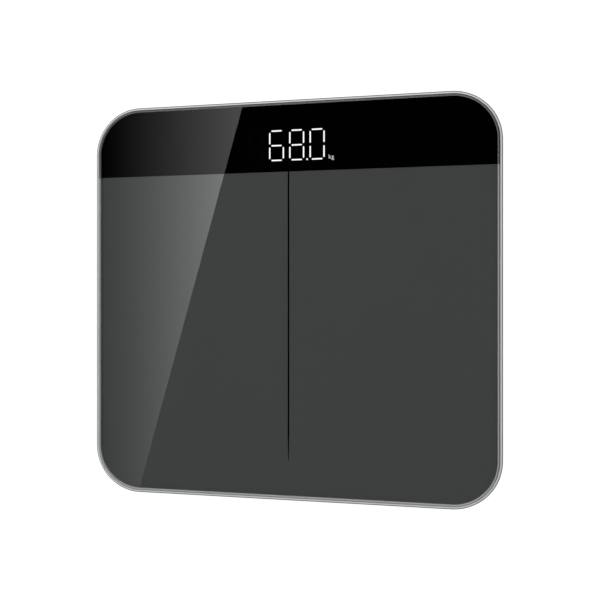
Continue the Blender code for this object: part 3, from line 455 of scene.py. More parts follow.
# The inner wall below the silver and the ledge are painted near black: painted shade under the glass's
# edge.
RIM_INSIDE = speckled("painted_shade_inner_wall", grey(0.012), grey(0.018), 0.8, 900, IOR=1.2)
SHELL_SKIN = moulded_plastic(
    "shell_abs", (0.028, 0.029, 0.030), (0.042, 0.043, 0.044), 0.44, 1500, 60 * MICRON
)
DOOR_SKIN = moulded_plastic("door_abs", (0.032, 0.033, 0.034), (0.042, 0.043, 0.044), 0.50, 3200)
BUTTON_SKIN = moulded_plastic(
    "button_abs", (0.075, 0.076, 0.078), (0.09, 0.092, 0.094), 0.42, 4200, 10 * MICRON
)
FOOT_SKIN = moulded_plastic(
    "foot_abs", (0.06, 0.062, 0.065), (0.08, 0.082, 0.085), 0.46, 3400, 20 * MICRON
)
RUBBER = speckled("pad_rubber", grey(0.016), grey(0.024), 0.82, 240, (5000, 2), 20 * MICRON, IOR=1.45)
STEEL = brushed_steel("stamped_steel", (0.55, 0.56, 0.58))
ZINC = brushed_steel("zinc_screw", (0.62, 0.62, 0.60))
NICKEL = speckled(
    "nickel_plate", (0.60, 0.58, 0.54), (0.70, 0.68, 0.64), 0.22, 700, (1500, 2), 10 * MICRON,
    Metallic=1.0,
)
NATURAL = moulded_plastic(
    "natural_abs", (0.66, 0.66, 0.62), (0.74, 0.74, 0.70), 0.45, 3000, 10 * MICRON
)
BLACK_PLASTIC = moulded_plastic("black_abs", grey(0.012), grey(0.018), 0.4, 4000, 10 * MICRON)
NYLON = moulded_plastic("nylon", (0.72, 0.70, 0.62), (0.80, 0.78, 0.70), 0.4, 3000, 10 * MICRON)
MASK = circuit_board()
FOAM = speckled("closed_cell_foam", grey(0.02), grey(0.035), 0.95, 900, (1800, 3), 100 * MICRON)
GREY_PVC = insulation("grey_pvc", (0.30, 0.30, 0.31))
RED_PVC = insulation("red_pvc", (0.50, 0.02, 0.02))
BLACK_PVC = insulation("black_pvc", grey(0.02))
JACKET = speckled("cell_jacket", (0.022, 0.10, 0.22), (0.026, 0.12, 0.26), 0.26, 2500, Metallic=0.6)
JACKET_BAND = speckled("cell_band", (0.55, 0.56, 0.58), (0.60, 0.61, 0.63), 0.26, 2500, Metallic=0.7)
WASHER = insulation("cell_washer", grey(0.05))
SILICONE = insulation("white_silicone", (0.72, 0.72, 0.70))


# ---------------- shape tools


def add_object(name, data):
    obj = bpy.data.objects.new(name, data)
    bpy.context.scene.collection.objects.link(obj)
    return obj


def evaluated_mesh(obj):
    """An object's mesh with its modifiers, or a curve's or a text's mesh."""
    bpy.context.view_layer.update()
    graph = bpy.context.evaluated_depsgraph_get()
    return bpy.data.meshes.new_from_object(obj.evaluated_get(graph))


def keep(obj, slot, *nodes, body=BASE):
    """Finishes a piece: shades its large faces flat, hangs it on the body it rides on and hides the nodes
    it stands for. slot is not used.
    """
    flatten_faces(obj)
    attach(obj, body)
    if nodes:
        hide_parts(*nodes)


def apply_modifiers(obj):
    mesh = evaluated_mesh(obj)
    obj.modifiers.clear()
    obj.data = mesh


def flatten_faces(obj):
    """Shades large faces flat, and leaves the rounding to the narrow faces beside them."""
    obj.modifiers.new("Normals", "WEIGHTED_NORMAL").keep_sharp = True
    apply_modifiers(obj)


def shade(mesh, angle):
    """Smooth, apart from edges sharper than angle."""
    mesh.shade_smooth()
    mesh.set_sharp_from_angle(angle=math.radians(angle))


def new_object(bm, name, materials, angle=32):
    bmesh.ops.recalc_face_normals(bm, faces=bm.faces)
    mesh = bpy.data.meshes.new(name)
    bm.to_mesh(mesh)
    bm.free()
    for material in materials:
        mesh.materials.append(material)
    shade(mesh, angle)
    return add_object(name, mesh)


def loft(name, rings, materials, closed=False, bands=None, angle=32):
    """A skin over rings of equally many points. It is capped, unless the last ring joins the first.
    bands gives the material of each strip between two rings. A cap takes that of the strip beside it."""
    bm = bmesh.new()
    loops = [[bm.verts.new(point) for point in ring] for ring in rings]
    pairs = list(zip(loops, loops[1:] + loops[:1]))
    finishes = [materials.index(band) for band in bands] if bands else [0] * len(pairs)
    if not closed:
        pairs.pop()
        bm.faces.new(loops[0]).material_index = finishes[0]
        bm.faces.new(loops[-1]).material_index = finishes[-1]
    for (near, far), finish in zip(pairs, finishes):
        for i in range(len(near)):
            bm.faces.new((near[i - 1], near[i], far[i], far[i - 1])).material_index = finish
    return new_object(bm, name, materials, angle)


def arc(start, end, steps):
    """Angles from start to end, given in degrees."""
    return [math.radians(start + (end - start) * i / steps) for i in range(steps + 1)]


def around(centre, radius, angles):
    x, y = centre
    return [(x + radius * math.cos(a), y + radius * math.sin(a)) for a in angles]


def fillet(centre, radius, start, end, steps=6):
    """Points of an arc about centre, from the angle start to end in degrees."""
    return around(centre, radius, arc(start, end, steps))


def circle(centre, radius, steps):
    return around(centre, radius, [2 * math.pi * i / steps for i in range(steps)])


def rounded_ring(width, depth, radius, z, steps=CORNER_STEPS, centre=(0, 0)):
    """Points of a rounded rectangle at height z, anticlockwise."""
    points = []
    for quarter, (sx, sy) in enumerate(((1, 1), (-1, 1), (-1, -1), (1, -1))):
        corner = (centre[0] + sx * (width / 2 - radius), centre[1] + sy * (depth / 2 - radius))
        turn = 90 * quarter
        points += [(x, y, z) for x, y in fillet(corner, radius, turn, turn + 90, steps)]
    return points


def outline_ring(inset, z):
    """The scale's outline moved in by inset, at height z."""
    return rounded_ring(WIDTH - 2 * inset, DEPTH - 2 * inset, CORNER_RADIUS - inset, z)


def round_ring(radius, z, steps, centre=(0, 0)):
    return [(x, y, z) for x, y in circle(centre, radius, steps)]


def upright_ring(x, centre, radius, steps):
    """A circle in the plane of Y and Z."""
    return [(x, y, z) for y, z in circle(centre, radius, steps)]


def turned(name, profile, materials, centre=(0, 0), steps=64):
    """A turned piece from its (radius, height) profile, capped flat at both ends."""
    return loft(name, [round_ring(radius, z, steps, centre) for radius, z in profile], materials)


def cylinders(name, places, radius, z_span, steps=48):
    profile = [(radius, z) for z in z_span]
    return [turned(f"{name}_{i}", profile, [], place, steps) for i, place in enumerate(places)]


def rim_steps(edge):
    """(inset, lift) up a rounded rim, from the flat face to the upright side."""
    turns = arc(0, 90, 4) if edge else [math.radians(90)]
    return [(edge * (1 - math.sin(a)), edge * (1 - math.cos(a))) for a in turns]


def rounded_block(name, size, z_span, corner, materials, centre=(0, 0), low=0.0, high=0.0, steps=8):
    """A rounded rectangle standing on z_span, with rounded lower and upper rims."""
    levels = [(inset, z_span[0] + lift) for inset, lift in rim_steps(low)]
    levels += [(inset, z_span[1] - lift) for inset, lift in rim_steps(high)[::-1]]
    rings = []
    for inset, z in levels:
        radius = max(corner - inset, 0.05 * MM)
        rings.append(rounded_ring(size[0] - 2 * inset, size[1] - 2 * inset, radius, z, steps, centre))
    return loft(name, rings, materials)


def slab(name, outline, z_span, materials):
    """A flat piece from its (x, y) outline."""
    return loft(name, [[(x, y, z) for x, y in outline] for z in z_span], materials)


def about(middle, half):
    return middle - half, middle + half


def box_between(name, xs, ys, zs):
    """A plain cutter box."""
    return slab(name, [(xs[0], ys[0]), (xs[1], ys[0]), (xs[1], ys[1]), (xs[0], ys[1])], zs, ())


def combine(obj, operation, others, angle=32):
    """Cuts or joins the others into obj, and removes them."""
    for other in others:
        modifier = obj.modifiers.new(other.name, "BOOLEAN")
        modifier.operation, modifier.solver, modifier.object = operation, "EXACT", other
    apply_modifiers(obj)
    shade(obj.data, angle)
    for other in others:
        bpy.data.objects.remove(other)


def cut(obj, *others):
    combine(obj, "DIFFERENCE", others)


def fuse(obj, *others, angle=32):
    combine(obj, "UNION", others, angle)


def gather(name, pieces):
    """Several meshes as one object with one material list."""
    bm = bmesh.new()
    for piece in pieces:
        bm.from_mesh(piece.data)
    materials = list(pieces[0].data.materials)
    for piece in pieces:
        bpy.data.objects.remove(piece)
    return new_object(bm, name, materials)


def mesh_of(source, merge):
    """The welded mesh of a curve or a text, which is removed."""
    bm = bmesh.new()
    bm.from_mesh(evaluated_mesh(source))
    bpy.data.objects.remove(source)
    bmesh.ops.remove_doubles(bm, verts=bm.verts, dist=merge)
    return bm


def wire(name, points, radius, material):
    """A closed round wire of eight sides along the points."""
    curve = bpy.data.curves.new(name, "CURVE")
    curve.dimensions = "3D"
    curve.bevel_depth = radius
    curve.bevel_resolution = 2
    curve.use_fill_caps = True
    spline = curve.splines.new("POLY")
    spline.points.add(len(points) - 1)
    for target, point in zip(spline.points, points):
        target.co = (*point, 1)
    return new_object(mesh_of(add_object(name, curve), 1e-7), name, [material], angle=50)


# ---------------- platform


def glass_platform():
    """The glass plate, with two ground facets round its top and a ground lower edge."""
    top, bottom, soft = TOP, GLASS_LOW.z, 0.06 * MM
    foot, head = top - FLANK_DROP - FACET_DROP, top - FACET_DROP
    inner = FLANK_WIDTH + FACET_WIDTH
    profile = [
        (SEAM, bottom), (0, bottom + SEAM), (0, foot), (soft, foot + 0.07 * MM),
        (FLANK_WIDTH - soft, head - 0.035 * MM), (FLANK_WIDTH + soft, head + 0.015 * MM),
        (inner - soft, top - 0.01 * MM), (inner + soft, top),
    ]
    rings = [outline_ring(GLASS_INSET + inset, z) for inset, z in profile]
    bands = [GROUND_SEAM, GROUND_SIDE, *2 * [GROUND_FLANK], *2 * [GROUND_FACET], GLASS]
    finishes = [GLASS, GROUND_FACET, GROUND_FLANK, GROUND_SIDE, BONDED, COATED, GROUND_SEAM]
    glass = loft("glass_plate", rings, finishes, bands=bands, angle=12)
    finish_glass_faces(glass.data, finishes.index(BONDED), finishes.index(COATED))
    glass.visible_shadow = False
    keep(glass, "glass", "glass_platform")


def finish_glass_faces(mesh, bonded, coated):
    """The underside is bonded to the ink, and the top has its hard coat as far as the dark band."""
    bm = bmesh.new()
    bm.from_mesh(mesh)
    caps = [face for face in bm.faces if len(face.verts) > 4]
    below, above = sorted(caps, key=lambda face: face.calc_center_median().z)
    below.material_index = bonded
    halves = bmesh.ops.bisect_plane(
        bm, geom=[above, *above.edges, *above.verts], plane_co=(0, COAT_EDGE_Y, 0), plane_no=(0, 1, 0)
    )["geom"]
    for face in halves:
        if isinstance(face, bmesh.types.BMFace) and face.calc_center_median().y < COAT_EDGE_Y:
            face.material_index = coated
    bm.to_mesh(mesh)
    bm.free()


def grey_field():
    """The grey ink up to the dark band, with the slot that shows as the centre line."""
    below = [(x, y) for x, y, _ in outline_ring(PRINT_INSET, 0) if y < BAND_EDGE_Y]
    side = WIDTH / 2 - PRINT_INSET
    half_slot = [(LINE_HALF, BAND_EDGE_Y), (LINE_HALF, LINE_TAPER_Y), (LINE_END_HALF, LINE_END_Y)]
    slot = [(LINE_X + x, y) for x, y in half_slot] + [(LINE_X - x, y) for x, y in half_slot[::-1]]
    outline = [(-side, BAND_EDGE_Y), *below, (side, BAND_EDGE_Y), *slot]
    field = slab("grey_field", outline, (GREY_TOP - PRINT_THICKNESS, GREY_TOP), [GREY_INK])
    keep(field, "grey_print", "grey_field_print")


def black_backing():
    """The black ink behind it. It shows as the band and as the centre line."""
    rings = [outline_ring(PRINT_INSET, z) for z in (BLACK_TOP - PRINT_THICKNESS, BLACK_TOP)]
    backing = loft("black_backing", rings, [BLACK_INK])
    keep(backing, "black_print", "black_backing_print", "display_window")


def bar(name, x, y, upright, material):
    """One segment of a digit: a flat bar with round ends."""
    length = UPRIGHT_LENGTH if upright else LEVEL_LENGTH
    radius, reach = SEGMENT_WIDTH / 2, (length - SEGMENT_WIDTH) / 2
    outline = fillet((reach, 0), radius, -90, 90, 8) + fillet((-reach, 0), radius, 90, 270, 8)
    if upright:
        outline = [(-v, u) for u, v in outline]
    return slab(name, [(x + u, y + v) for u, v in outline], SEGMENT_SPAN, [material])


def digit_bars(index, sign, material):
    """The lit bars of one digit, or its unlit ones."""
    x = FIRST_DIGIT_X + index * DIGIT_PITCH
    high, side = SEGMENT_HALF_HEIGHT, SEGMENT_HALF_WIDTH
    places = {
        "a": (0, high, False), "g": (0, 0, False), "d": (0, -high, False),
        "f": (-side, high / 2, True), "b": (side, high / 2, True),
        "e": (-side, -high / 2, True), "c": (side, -high / 2, True),
    }
    return [
        bar(f"bar_{index}_{letter}", x + dx, DIGIT_Y + dy, upright, material)
        for letter, (dx, dy, upright) in places.items()
        if (letter in SEGMENTS_LIT[sign]) == (material == LIT)
    ]


def units_sign():
    """The small kg beside the digits."""
    text = bpy.data.curves.new("kg", "FONT")
    text.body = "kg"
    text.extrude = (SEGMENT_SPAN[1] - SEGMENT_SPAN[0]) / 2
    text.offset = -0.014  # thinner strokes
    bm = mesh_of(add_object("kg", text), 1e-6)
    left, right = (pick(v.co.x for v in bm.verts) for pick in (min, max))
    low = min(v.co.y for v in bm.verts)
    scale = UNITS_WIDTH / (right - left)
    for vert in bm.verts:
        vert.co.x = UNITS_LOW[0] + (vert.co.x - left) * scale
        vert.co.y = UNITS_LOW[1] + (vert.co.y - low) * scale
        vert.co.z += sum(SEGMENT_SPAN) / 2
    return new_object(bm, "lit_units", [LIT])


def display():
    """The lit reading under the glass, just over the black ink."""
    lit, unlit = [], []
    for index, sign in enumerate(READING):
        lit += digit_bars(index, sign, LIT)
        unlit += digit_bars(index, sign, UNLIT)
    lit.append(turned("point", [(POINT_RADIUS, z) for z in SEGMENT_SPAN], [LIT], POINT_PLACE, 24))
    keep(gather("lit_digits", lit), "diffuser_film")
    keep(gather("unlit_digits", unlit), "black_plastic")
    keep(units_sign(), "diffuser_film")


def rim_frame():
    """The silver rim: a bright face, a narrow chamfer and an outer side painted darker as painted shade,
    and an inner wall and ledge painted near black as painted shade.
    """
    top, bottom = RIM_HIGH.z, RIM_LOW.z
    crown, soft = top - RIM_CROWN, 0.25 * MM
    profile = [
        (soft, bottom), (0, bottom + soft), (0, crown - RIM_DROP - 0.08 * MM),
        (0.09 * MM, crown - RIM_DROP + 0.04 * MM), (RIM_CHAMFER - 0.08 * MM, crown - 0.05 * MM),
        (RIM_CHAMFER + 0.06 * MM, crown), (RIM_WALL - 0.12 * MM, top), (RIM_WALL, top - 0.12 * MM),
        (RIM_WALL, top - PAINT_REACH), (RIM_WALL, LEDGE_TOP), (LEDGE_INSET, LEDGE_TOP),
        (LEDGE_INSET, LEDGE_BOTTOM), (SKIRT_WALL, LEDGE_BOTTOM), (SKIRT_WALL, bottom),
    ]
    rings = [outline_ring(inset, z) for inset, z in profile]
    # the darker chamfer and outer wall, and the near black inner wall and ledge, are painted shade
    bands = 2 * [RIM_OUTSIDE] + 2 * [RIM_SIDE] + 4 * [RIM_FACE] + 6 * [RIM_INSIDE]
    finishes = [RIM_FACE, RIM_SIDE, RIM_INSIDE, RIM_OUTSIDE]
    rim = loft("silver_rim", rings, finishes, closed=True, bands=bands, angle=40)
    keep(rim, "silver_rim", "rim_frame")


# ---------------- shell and feet


def shell_rings(wall):
    """Rings down one face of the shell: the outer one, or the inner one at the given wall."""
    inset, radius = WIDTH / 2 - SHELL_HIGH.x + wall, SHELL_ROUND - wall
    middle = (inset + radius, SHELL_LOW.z + wall + radius)
    profile = [(inset, SHELL_HIGH.z), *fillet(middle, radius, 180, 270, ROUND_STEPS)]
    return [outline_ring(d, z) for d, z in profile]


def shell_ribs():
    """The rows and columns of ribs on the shell's floor."""
    z_span = (ROOT, RIB_TOP)
    across, along = (about(0, reach) for reach in RIB_REACH)
    rows = [box_between("rib", across, about(y, RIB_HALF), z_span) for y in RIB_ROWS_Y]
    return rows + [box_between("rib", about(x, RIB_HALF), along, z_span) for x in RIB_COLUMNS_X]


def bottom_shell():
    """The moulded shell, with its wells, collars, bosses, ribs, sill and openings."""
    shell = loft("shell", shell_rings(SHELL_WALL)[::-1] + shell_rings(0), [SHELL_SKIN])
    wells = list(FOOT_CENTRES.values())
    holders, boards = ([centre_of(node) for node in nodes] for nodes in (HOLDER_SCREWS, BOARD_SCREWS))
    fuse(
        shell, *shell_ribs(),
        rounded_block("sill", SILL_SIZE, (ROOT, SILL_TOP), 3 * MM, (), (0, BAY_Y)),
        *cylinders("collar", wells, FLANGE_RADIUS + COLLAR_WALL, (ROOT, COLLAR_TOP)),
        *cylinders("boss", holders, BOSS_RADIUS, (ROOT, COLLAR_TOP), 24),
        *cylinders("board_boss", boards, BOSS_RADIUS, (ROOT, BOARD_BOSS_TOP), 24),
        *well_beads(wells),
    )
    hole, hole_corner = [side + 2 * BUTTON_GAP for side in BUTTON_SIZE], BUTTON_CORNER + BUTTON_GAP
    cut(
        shell,
        *cylinders("flange_space", wells, FLANGE_RADIUS + WELL_GAP, (SHELL_FLOOR - 0.1 * MM, OPEN_TOP)),
        *cylinders("well", wells, WELL_RADIUS, (UNDER, COLLAR_TOP), 64),
        *well_edges(wells),
        border_groove(),
        rounded_block("label", LABEL_SIZE, (UNDER, SHELL_LOW.z + LABEL_DEPTH), 2 * MM, (), LABEL_PLACE),
        *cylinders("pilot", holders + boards, PILOT_RADIUS, (SHELL_FLOOR - 0.5 * MM, PILOT_TOP), 16),
        *door_cutters(),
        rounded_block("hole", hole, (UNDER, SHELL_FLOOR + 1 * MM), hole_corner, (), BUTTON_PLACE),
    )
    keep(shell, "shell_plastic", "bottom_shell")


def well_edges(wells):
    """Cones at 45 degrees that break the lower edge of each foot well."""
    widest = WELL_RADIUS + WELL_CHAMFER
    profile = [(widest + SHELL_LOW.z - z, z) for z in (UNDER, SHELL_LOW.z + 1 * MM)]
    return [turned(f"well_edge_{i}", profile, [], place, 64) for i, place in enumerate(wells)]


def well_beads(wells):
    """A low rounded bead round each foot well."""
    low, root = SHELL_LOW.z, SHELL_LOW.z + 0.5 * MM
    arch = fillet((BEAD_RADIUS, low), BEAD_HALF, 180, 360, 10)
    arch = [(r, max(z, low - BEAD_HEIGHT)) for r, z in arch]
    profile = [(BEAD_RADIUS - BEAD_HALF, root), *arch, (BEAD_RADIUS + BEAD_HALF, root)]
    return [
        loft(f"bead_{i}", [round_ring(r, z, 96, centre) for r, z in profile], (), closed=True)
        for i, centre in enumerate(wells)
    ]


def border_groove():
    """A fine groove that runs round the underside."""
    bottom, wide, narrow = SHELL_LOW.z + GROOVE_DEPTH, 2 * GROOVE_HALF, 0.6 * GROOVE_HALF
    profile = [(-wide, UNDER), (wide, UNDER), (narrow, bottom), (-narrow, bottom)]
    return loft("groove", [outline_ring(GROOVE_INSET + d, z) for d, z in profile], (), closed=True)


def door_cutters():
    """What the door, its pins, its latch, the batteries and a finger take out of the shell."""
    wall, near = DOOR_WALL_Y, DOOR_LOW.y - PIN_GAP
    recess = (DOOR_WIDTH + 2 * GAP, wall - near)
    across = about(0, CATCH_HALF)
    catch = (SILL_BOTTOM + 0.2 * MM, SILL_TOP - 0.5 * MM)
    pin_x = DOOR_HIGH.x + 0.4 * MM - PIN_LENGTH / 2
    pin_y, pin_z = about(HINGE_Y, HINGE_RADIUS + PIN_GAP), (UNDER, SILL_BOTTOM - 0.1 * MM)
    scoop = [(0.3 * MM, 3.6 * MM), (5.2 * MM, 2.6 * MM), (8.2 * MM, 0.4 * MM), (9 * MM, -2 * MM)]
    scoop = [(radius, SHELL_LOW.z - 2.3 * MM + z) for radius, z in scoop]
    return [
        rounded_block("door_recess", recess, (UNDER, SILL_BOTTOM), 2 * MM, (), (0, (wall + near) / 2)),
        box_between("bay", about(0, BAY_SIZE[0] / 2), about(BAY_Y, BAY_SIZE[1] / 2), (UNDER, OPEN_TOP)),
        box_between("latch_space", across, (wall - LATCH_DEPTH, wall), (UNDER, OPEN_TOP)),
        box_between("latch_catch", across, (wall - 1 * MM, wall + 1.2 * MM), catch),
        *[box_between("pin", about(x, PIN_LENGTH / 2), pin_y, pin_z) for x in (-pin_x, pin_x)],
        turned("scoop", scoop, (), (0, wall + 0.6 * MM), 48),
    ]


def feet():
    """Each foot and its grooved rubber pad."""
    flange_low, flange_high = FLANGE_SPAN
    for station, centre in FOOT_CENTRES.items():
        node, pad_node = "foot_" + station, "foot_pad_" + station
        low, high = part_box(node)
        pad_low, pad_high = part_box(pad_node)
        pad_radius = (pad_high.x - pad_low.x) / 2
        wall, recess, lip = pad_radius + GAP, pad_high.z + GAP, 0.3 * MM
        profile = [
            (STEM_RADIUS, high.z), (STEM_RADIUS, flange_high), (FLANGE_RADIUS, flange_high),
            (FLANGE_RADIUS, flange_low), (FOOT_RADIUS, flange_low),
            *fillet((FOOT_RADIUS - FOOT_ROUND, low.z + FOOT_ROUND), FOOT_ROUND, 0, -90),
            *fillet((wall + lip, low.z + lip), lip, -90, -180, 3),
            (wall, recess), (HUB, recess),
        ]
        foot = turned("foot_disc_" + station, profile, [FOOT_SKIN], centre, 96)
        keep(foot, "foot_plastic", node, body=node)
        keep(rubber_pad(station, centre, pad_radius, pad_high.z), "rubber_pad", pad_node, body=node)


def rubber_pad(station, centre, radius, top):
    """A rubber disc with a rounded rim and ring grooves in its sole."""
    soft, rim = 0.2 * MM, 0.6 * MM
    profile = [(HUB, top), (radius - soft, top), (radius, top - soft)]
    profile += fillet((radius - rim, rim), rim, 0, -90, 5)
    flank = [(0.12 * MM, 0), (0, 0.15 * MM), (-0.1 * MM, PAD_DEPTH)]
    edge = radius - rim - PAD_LAND
    while edge - PAD_GROOVE > 3 * MM:
        profile += [(edge + out, z) for out, z in flank]
        profile += [(edge - PAD_GROOVE - out, z) for out, z in flank[::-1]]
        edge -= PAD_GROOVE + PAD_LAND
    profile.append((HUB, 0))
    return turned("rubber_pad_" + station, profile, [RUBBER], centre, 96)


def load_cells():
    """Each load cell: its slotted plate, its tongue and its coating."""
    for station, (x, y) in FOOT_CENTRES.items():
        node = "load_cell_" + station
        low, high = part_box(node)
        size, z_span = (high.x - low.x, high.y - low.y), (low.z, high.z)
        plate = rounded_block(
            node + "_plate", size, z_span, CELL_CORNER, [STEEL], (x, y), low=CELL_EDGE, high=CELL_EDGE
        )
        slot_size = (2 * SLOT_OUTER, TONGUE_ROOT - SLOT_END)
        slot_centre = (x, y + (TONGUE_ROOT + SLOT_END) / 2)
        cut(plate, rounded_block("slot", slot_size, (low.z - MM, high.z + MM), 0.8 * MM, (), slot_centre))
        keep(plate, "cell_steel", node)
        tongue = cell_tongue(node + "_tongue", x, y, z_span)
        coating = rounded_block(
            node + "_coating", COATING_SIZE, (high.z + 0.02 * MM, high.z + 0.7 * MM), 2 * MM, [SILICONE],
            (x, y + TONGUE_ROOT - 5 * MM), high=0.5 * MM,
        )
        for piece, slot in ((tongue, "cell_steel"), (coating, "connector_plastic")):
            flatten_faces(piece)
            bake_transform(piece)
        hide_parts(node)


def cell_tongue(name, x, y, z_span):
    """The tongue, in short lengths, with a rounded tip."""
    corner, middle = TONGUE_CORNER, sum(z_span) / 2
    lengths = round((TONGUE_ROOT - TONGUE_TIP - corner) / TONGUE_PITCH)
    outline = [(TONGUE_ROOT - TONGUE_PITCH * step, SLOT_INNER) for step in range(lengths)]
    outline += fillet((TONGUE_TIP + corner, SLOT_INNER - corner), corner, 90, 180)
    rings = []
    for along, half in outline:
        section = rounded_ring(2 * half, z_span[1] - z_span[0], CELL_EDGE, 0, 3)
        rings.append([(x + u, y + along, middle + v) for u, v, _ in section])
    return loft(name, rings, [STEEL])


# ---------------- door, latch, button


def battery_door():
    """The door, rounded outside, with its hinge pins, a latch notch, grip ridges and an arrow."""
    low, high = DOOR_LOW.z, DOOR_HIGH.z
    under, tip = low - 1 * MM, DOOR_FAR_Y - ARROW_START
    door = rounded_block(
        "cover", (DOOR_WIDTH, DOOR_FAR_Y - HINGE_Y), (low, high), DOOR_CORNER, [DOOR_SKIN],
        (0, (HINGE_Y + DOOR_FAR_Y) / 2), low=0.35 * MM, high=0.15 * MM,
    )
    ends = [upright_ring(x, (HINGE_Y, HINGE_Z), HINGE_RADIUS, 32) for x in (-DOOR_HIGH.x, DOOR_HIGH.x)]
    fuse(door, loft("barrel", ends, ()))
    ribs = [
        rounded_block(
            f"rib_{i}", DOOR_RIB_SIZE, (high - 0.5 * MM, high + 0.8 * MM), 0.5 * MM, (),
            (0, BAY_Y + i * DOOR_RIB_PITCH), high=0.3 * MM, steps=4,
        )
        for i in (-1, 0, 1)
    ]
    fuse(door, *ribs)
    notch_y = (DOOR_FAR_Y - LATCH_DEPTH, DOOR_FAR_Y + 1 * MM)
    grooves = [
        rounded_block(
            f"groove_{i}", GRIP_SIZE, (under, low + GRIP_DEPTH), 0.4 * MM, (),
            (0, DOOR_FAR_Y - GRIP_START - i * GRIP_PITCH), steps=4,
        )
        for i in range(4)
    ]
    arrow = [(0, tip), (-ARROW_HALF, tip - ARROW_LENGTH), (ARROW_HALF, tip - ARROW_LENGTH)]
    cut(
        door,
        box_between("notch", about(0, NOTCH_HALF), notch_y, (under, high + 1 * MM)),
        *grooves,
        slab("arrow", arrow, (under, low + ARROW_DEPTH), ()),
    )
    keep(door, "shell_plastic", "battery_door", body="battery_door")


def door_latch():
    """The springy U in the door's free edge, with the nose that snaps into the sill."""
    low, high, wall, bend = LATCH_LOW.z, LATCH_HIGH.z, LATCH_WALL, LATCH_BEND
    root, face, brow = DOOR_FAR_Y - LATCH_DEPTH + GAP, DOOR_FAR_Y - 0.1 * MM, high - 0.3 * MM
    outline = [
        (root, low),
        *fillet((root + bend, high - bend), bend, 180, 90),
        *fillet((face - bend, brow - bend), bend, 90, 0),
        (face + NOSE_REACH, NOSE_SPAN[1]), (face, NOSE_SPAN[0]), (face, low),
        (face - LATCH_LIP, low), (face - LATCH_LIP, low + wall), (face - wall, low + wall + 0.3 * MM),
        (face - wall, brow - wall - 0.6 * MM), (face - wall - 0.6 * MM, brow - wall),
        (root + bend, high - wall), (root + wall, high - bend), (root + wall, low),
    ]
    rings = [[(x, y, z) for y, z in outline] for x in (-LATCH_HALF, LATCH_HALF)]
    latch = loft("latch", rings, [DOOR_SKIN])
    bevel = latch.modifiers.new("Bevel", "BEVEL")
    bevel.width, bevel.segments, bevel.limit_method = 0.12 * MM, 2, "ANGLE"
    apply_modifiers(latch)
    shade(latch.data, 32)
    keep(latch, "shell_plastic", "door_latch", body="battery_door")


def unit_button():
    """The button: a cap with a shallow dish for a fingertip, its flange and its stem."""
    low, flange_low = BUTTON_LOW.z, SHELL_FLOOR + GAP
    cap = rounded_block(
        "button_cap", BUTTON_SIZE, (low, BUTTON_TOP), BUTTON_CORNER, [BUTTON_SKIN], BUTTON_PLACE,
        low=0.6 * MM, steps=10,
    )
    flange_span = (flange_low, flange_low + 1 * MM)
    stem = [(BUTTON_STEM, BUTTON_TOP - 0.5 * MM), (BUTTON_STEM, BUTTON_HIGH.z)]
    fuse(
        cap,
        rounded_block("flange", BUTTON_FLANGE, flange_span, 2 * MM, (), BUTTON_PLACE),
        turned("stem", stem, (), BUTTON_PLACE, 24),
    )
    dish = [(0.4 * MM, low + 0.3 * MM), (2.2 * MM, low + 0.15 * MM), (3.2 * MM, low - 0.1 * MM)]
    cut(cap, turned("dish", dish, (), BUTTON_PLACE, 48))
    keep(cap, "shell_plastic", "unit_button", body="unit_button")


# ---------------- batteries and contacts


def heading(index):
    """Which way along X a battery points: neighbours point opposite ways."""
    return 1 if index % 2 == 0 else -1


def battery(index):
    """One AAA battery: a banded jacket, a washer and the steel ends."""
    low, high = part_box(f"battery_{index + 1}")
    middle, half, radius = (low + high) / 2, (high.x - low.x) / 2, (high.z - low.z) / 2
    shoulder, crimp, round_off = half - 0.9 * MM, 0.45 * MM, 0.13 * MM
    outline = [
        (0.3 * MM, half, NICKEL), (1.7 * MM, half, NICKEL), (1.9 * MM, half - 0.2 * MM, NICKEL),
        (1.9 * MM, shoulder, NICKEL), (3.0 * MM, shoulder - 0.05 * MM, WASHER),
        (3.7 * MM, shoulder + 0.02 * MM, WASHER), (radius - crimp, shoulder, JACKET_BAND),
        (radius - round_off, shoulder - round_off, JACKET_BAND), (radius, shoulder - crimp, JACKET_BAND),
        (radius, half - 12 * MM, JACKET), (radius, crimp - half, JACKET),
        (radius - round_off, round_off - half, JACKET), (radius - crimp, 0.02 * MM - half, JACKET),
        (radius - 1.1 * MM, 0.25 * MM - half, NICKEL), (radius - 1.5 * MM, 0.05 * MM - half, NICKEL),
        (0.3 * MM, -half, NICKEL),
    ]
    ahead = heading(index)
    rings = [upright_ring(middle.x + ahead * along, middle.yz, r, 64) for r, along, _ in outline]
    bands = [finish for _, _, finish in outline[:-1]]
    finishes = [JACKET, NICKEL, WASHER, JACKET_BAND]
    cell = loft(f"cell_{index + 1}", rings, finishes, bands=bands, angle=40)
    keep(cell, "battery_jacket", f"battery_{index + 1}")


